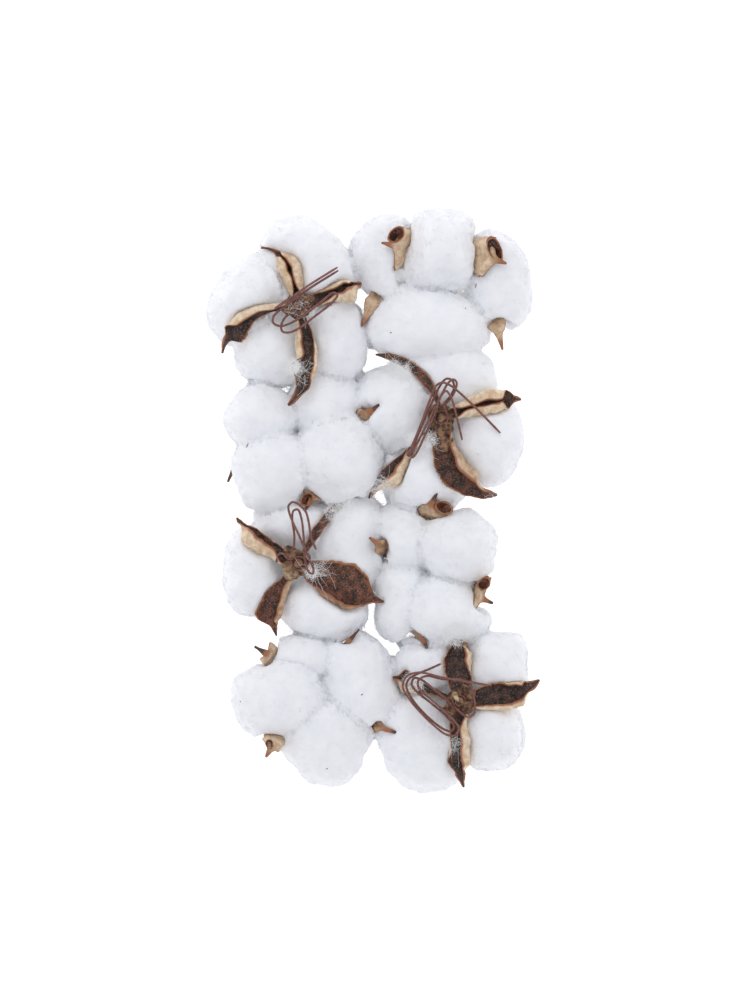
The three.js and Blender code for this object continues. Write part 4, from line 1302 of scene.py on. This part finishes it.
def bark_material():
    material, tree, skin = shader("carpel_outside", {"Roughness": 0.62})
    along, across, red = place_values(tree)
    mottled = ramp(tree, speckle(tree, 240, 5), 0.36, 0.66)
    plain = blend(tree, mottled, linear(34, 23, 21), linear(92, 64, 53))
    reddish = blend(tree, mottled, linear(58, 32, 25), linear(128, 76, 54))
    grains, pits = speckle(tree, 1500, 4), speckle(tree, 1100, 4)
    colour = layered(tree, blend(tree, red, plain, reddish), [
        (grains, 0.55, 0.7, (156, 118, 94)), (pits, 0.46, 0.36, (30, 20, 18)),
        (along, 0.98, 1.1, (66, 50, 45)), (across, 0.88, 0.96, (176, 116, 68)),
    ])
    return finished(material, tree, skin, colour, speckle(tree, 1100, 5), 0.8, 0.0006)


def lining_material():
    material, tree, skin = shader("carpel_inside", {"Roughness": 0.45})
    along, across, red = place_values(tree)
    streaked = ramp(tree, speckle(tree, 300, 5), 0.3, 0.7)
    cream = blend(tree, streaked, linear(212, 180, 142), linear(242, 224, 198))
    # The tan lining, darker than the cream, is partly a real tan and partly painted shade for linings
    # that lie in shadow
    tan = blend(tree, streaked, linear(138, 100, 70), linear(200, 162, 124))
    colour = layered(tree, blend(tree, red, cream, tan), [
        (speckle(tree, 1500, 3), 0.6, 0.72, (170, 130, 94)), (along, 0.92, 1.04, (158, 104, 68)),
        (along, 1.07, 1.13, (84, 56, 46)), (across, 0.88, 0.96, (158, 98, 66)),
    ])
    return finished(material, tree, skin, colour, speckle(tree, 700, 4), 0.5, 0.0005)


def wood_material():
    material, tree, skin = shader("stalk_stub", {"Roughness": 0.75})
    pale = place_values(tree)[0]
    mottled = ramp(tree, speckle(tree, 420, 6), 0.35, 0.7)
    brown = blend(tree, mottled, linear(66, 42, 32), linear(158, 118, 86))
    tan = blend(tree, mottled, linear(150, 112, 76), linear(222, 204, 172))
    colour = blend(tree, pale, brown, tan)
    return finished(material, tree, skin, colour, speckle(tree, 1400, 4), 0.7, 0.0005)


def wire_material():
    material, tree, skin = shader("stem_wire", {"Roughness": 0.6})
    worn = ramp(tree, speckle(tree, 1300, 4), 0.35, 0.7)
    colour = blend(tree, worn, linear(104, 64, 58), linear(146, 98, 88))
    return finished(material, tree, skin, colour, speckle(tree, 2600, 3), 0.4, 0.0002)


# Camera, floor and light

def make_camera():
    data = bpy.data.cameras.new("camera")
    data.sensor_width = 36
    data.lens = data.sensor_width * (CAMERA_ABOVE - BOLL_MIDDLE) / PHOTO_HEIGHT
    data.clip_end = 2 * CAMERA_ABOVE
    camera = add_object("camera", data)
    camera.location = (-MIDDLE[0] * MM, -MIDDLE[1] * MM, CAMERA_ABOVE)
    bpy.context.scene.camera = camera


def make_floor():
    """A white table, lit a little from below as a light table is, so that shadows stay faint"""
    material = shader("floor", {
        "Roughness": 0.9, "Specular IOR Level": 0, "Base Color": (0.4, 0.4, 0.4, 1),
        "Emission Color": (1, 1, 1, 1), "Emission Strength": 1,
    })[0]
    mesh = bpy.data.meshes.new("floor")
    corners = [(FLOOR_HALF * x, FLOOR_HALF * y, 0) for x, y in ((-1, -1), (1, -1), (1, 1), (-1, 1))]
    mesh.from_pydata(corners, [], [(0, 1, 2, 3)])
    mesh.materials.append(material)
    floor = add_object("floor", mesh)


def make_light():
    world = bpy.data.worlds.new("studio")
    world.use_nodes = True
    sky = {"Color": SKY_COLOUR, "Strength": SKY_STRENGTH}
    set_inputs(world.node_tree.nodes["Background"], sky)
    bpy.context.scene.world = world
    data = bpy.data.lights.new("softbox", "AREA")
    data.shape = "DISK"
    data.size = SOFTBOX_WIDTH
    data.energy = SOFTBOX_WATTS
    softbox = add_object("softbox", data)
    softbox.location = SOFTBOX_AT
    softbox.rotation_euler = Vector(softbox.location).to_track_quat("Z", "Y").to_euler()
    bpy.context.scene.view_settings.view_transform = "Standard"


make_camera()
make_floor()
make_light()
cotton = cotton_material()
burr_finish = [bark_material(), lining_material(), wood_material()]
wire_finish = wire_material()

woods = [burr_shells(boll, BOLL_SEED * n) for n, boll in enumerate(BOLLS)]
wires = [wire_shell(boll) for boll in BOLLS]
fences = [fence_shell(boll, carpel) for boll in BOLLS for carpel in boll.carpels]
wood = [shell for shells in woods for shell in shells]
woody = tree_of(wood + wires + fences)
for boll, shells, wire in zip(BOLLS, woods, wires):
    dress(boll.name + "_burr", shells, burr_finish)
    dress(boll.name + "_wire", [wire], [wire_finish])

ways, ball_faces, ball_edges = ball(BALL_CELLS)
all_locks = [lock for boll in BOLLS for lock in boll.locks]
for n, lock in enumerate(all_locks):
    lock.seed = LOCK_SEED * (n + 1)
pressed = {id(lock): press(lock, boll, all_locks) for boll in BOLLS for lock in boll.locks}
draw = np.random.default_rng(DRAW_SEED)
skins = []
for boll in BOLLS:
    for lock, letter in zip(boll.locks, "abcd"):
        one = pressed[id(lock)]
        near = [pressed[id(other)] for other in one.near]
        points, reach = lock_points(one, near, woody, ways, ball_edges)
        skin = Shell(points, ball_faces)
        skins.append(skin)
        fuzz = fuzz_shell(points, reach, skin.faces, draw)
        dress(f"{boll.name}_lock_{letter}", [skin, fuzz], [cotton])

ground = tree_of(wood + skins)
make_piece("loose_lint", lint_shells(ground, draw), [lint_material()])
make_piece("flecks", [fleck_shell(*fleck, ground) for fleck in FLECKS], burr_finish[:1])
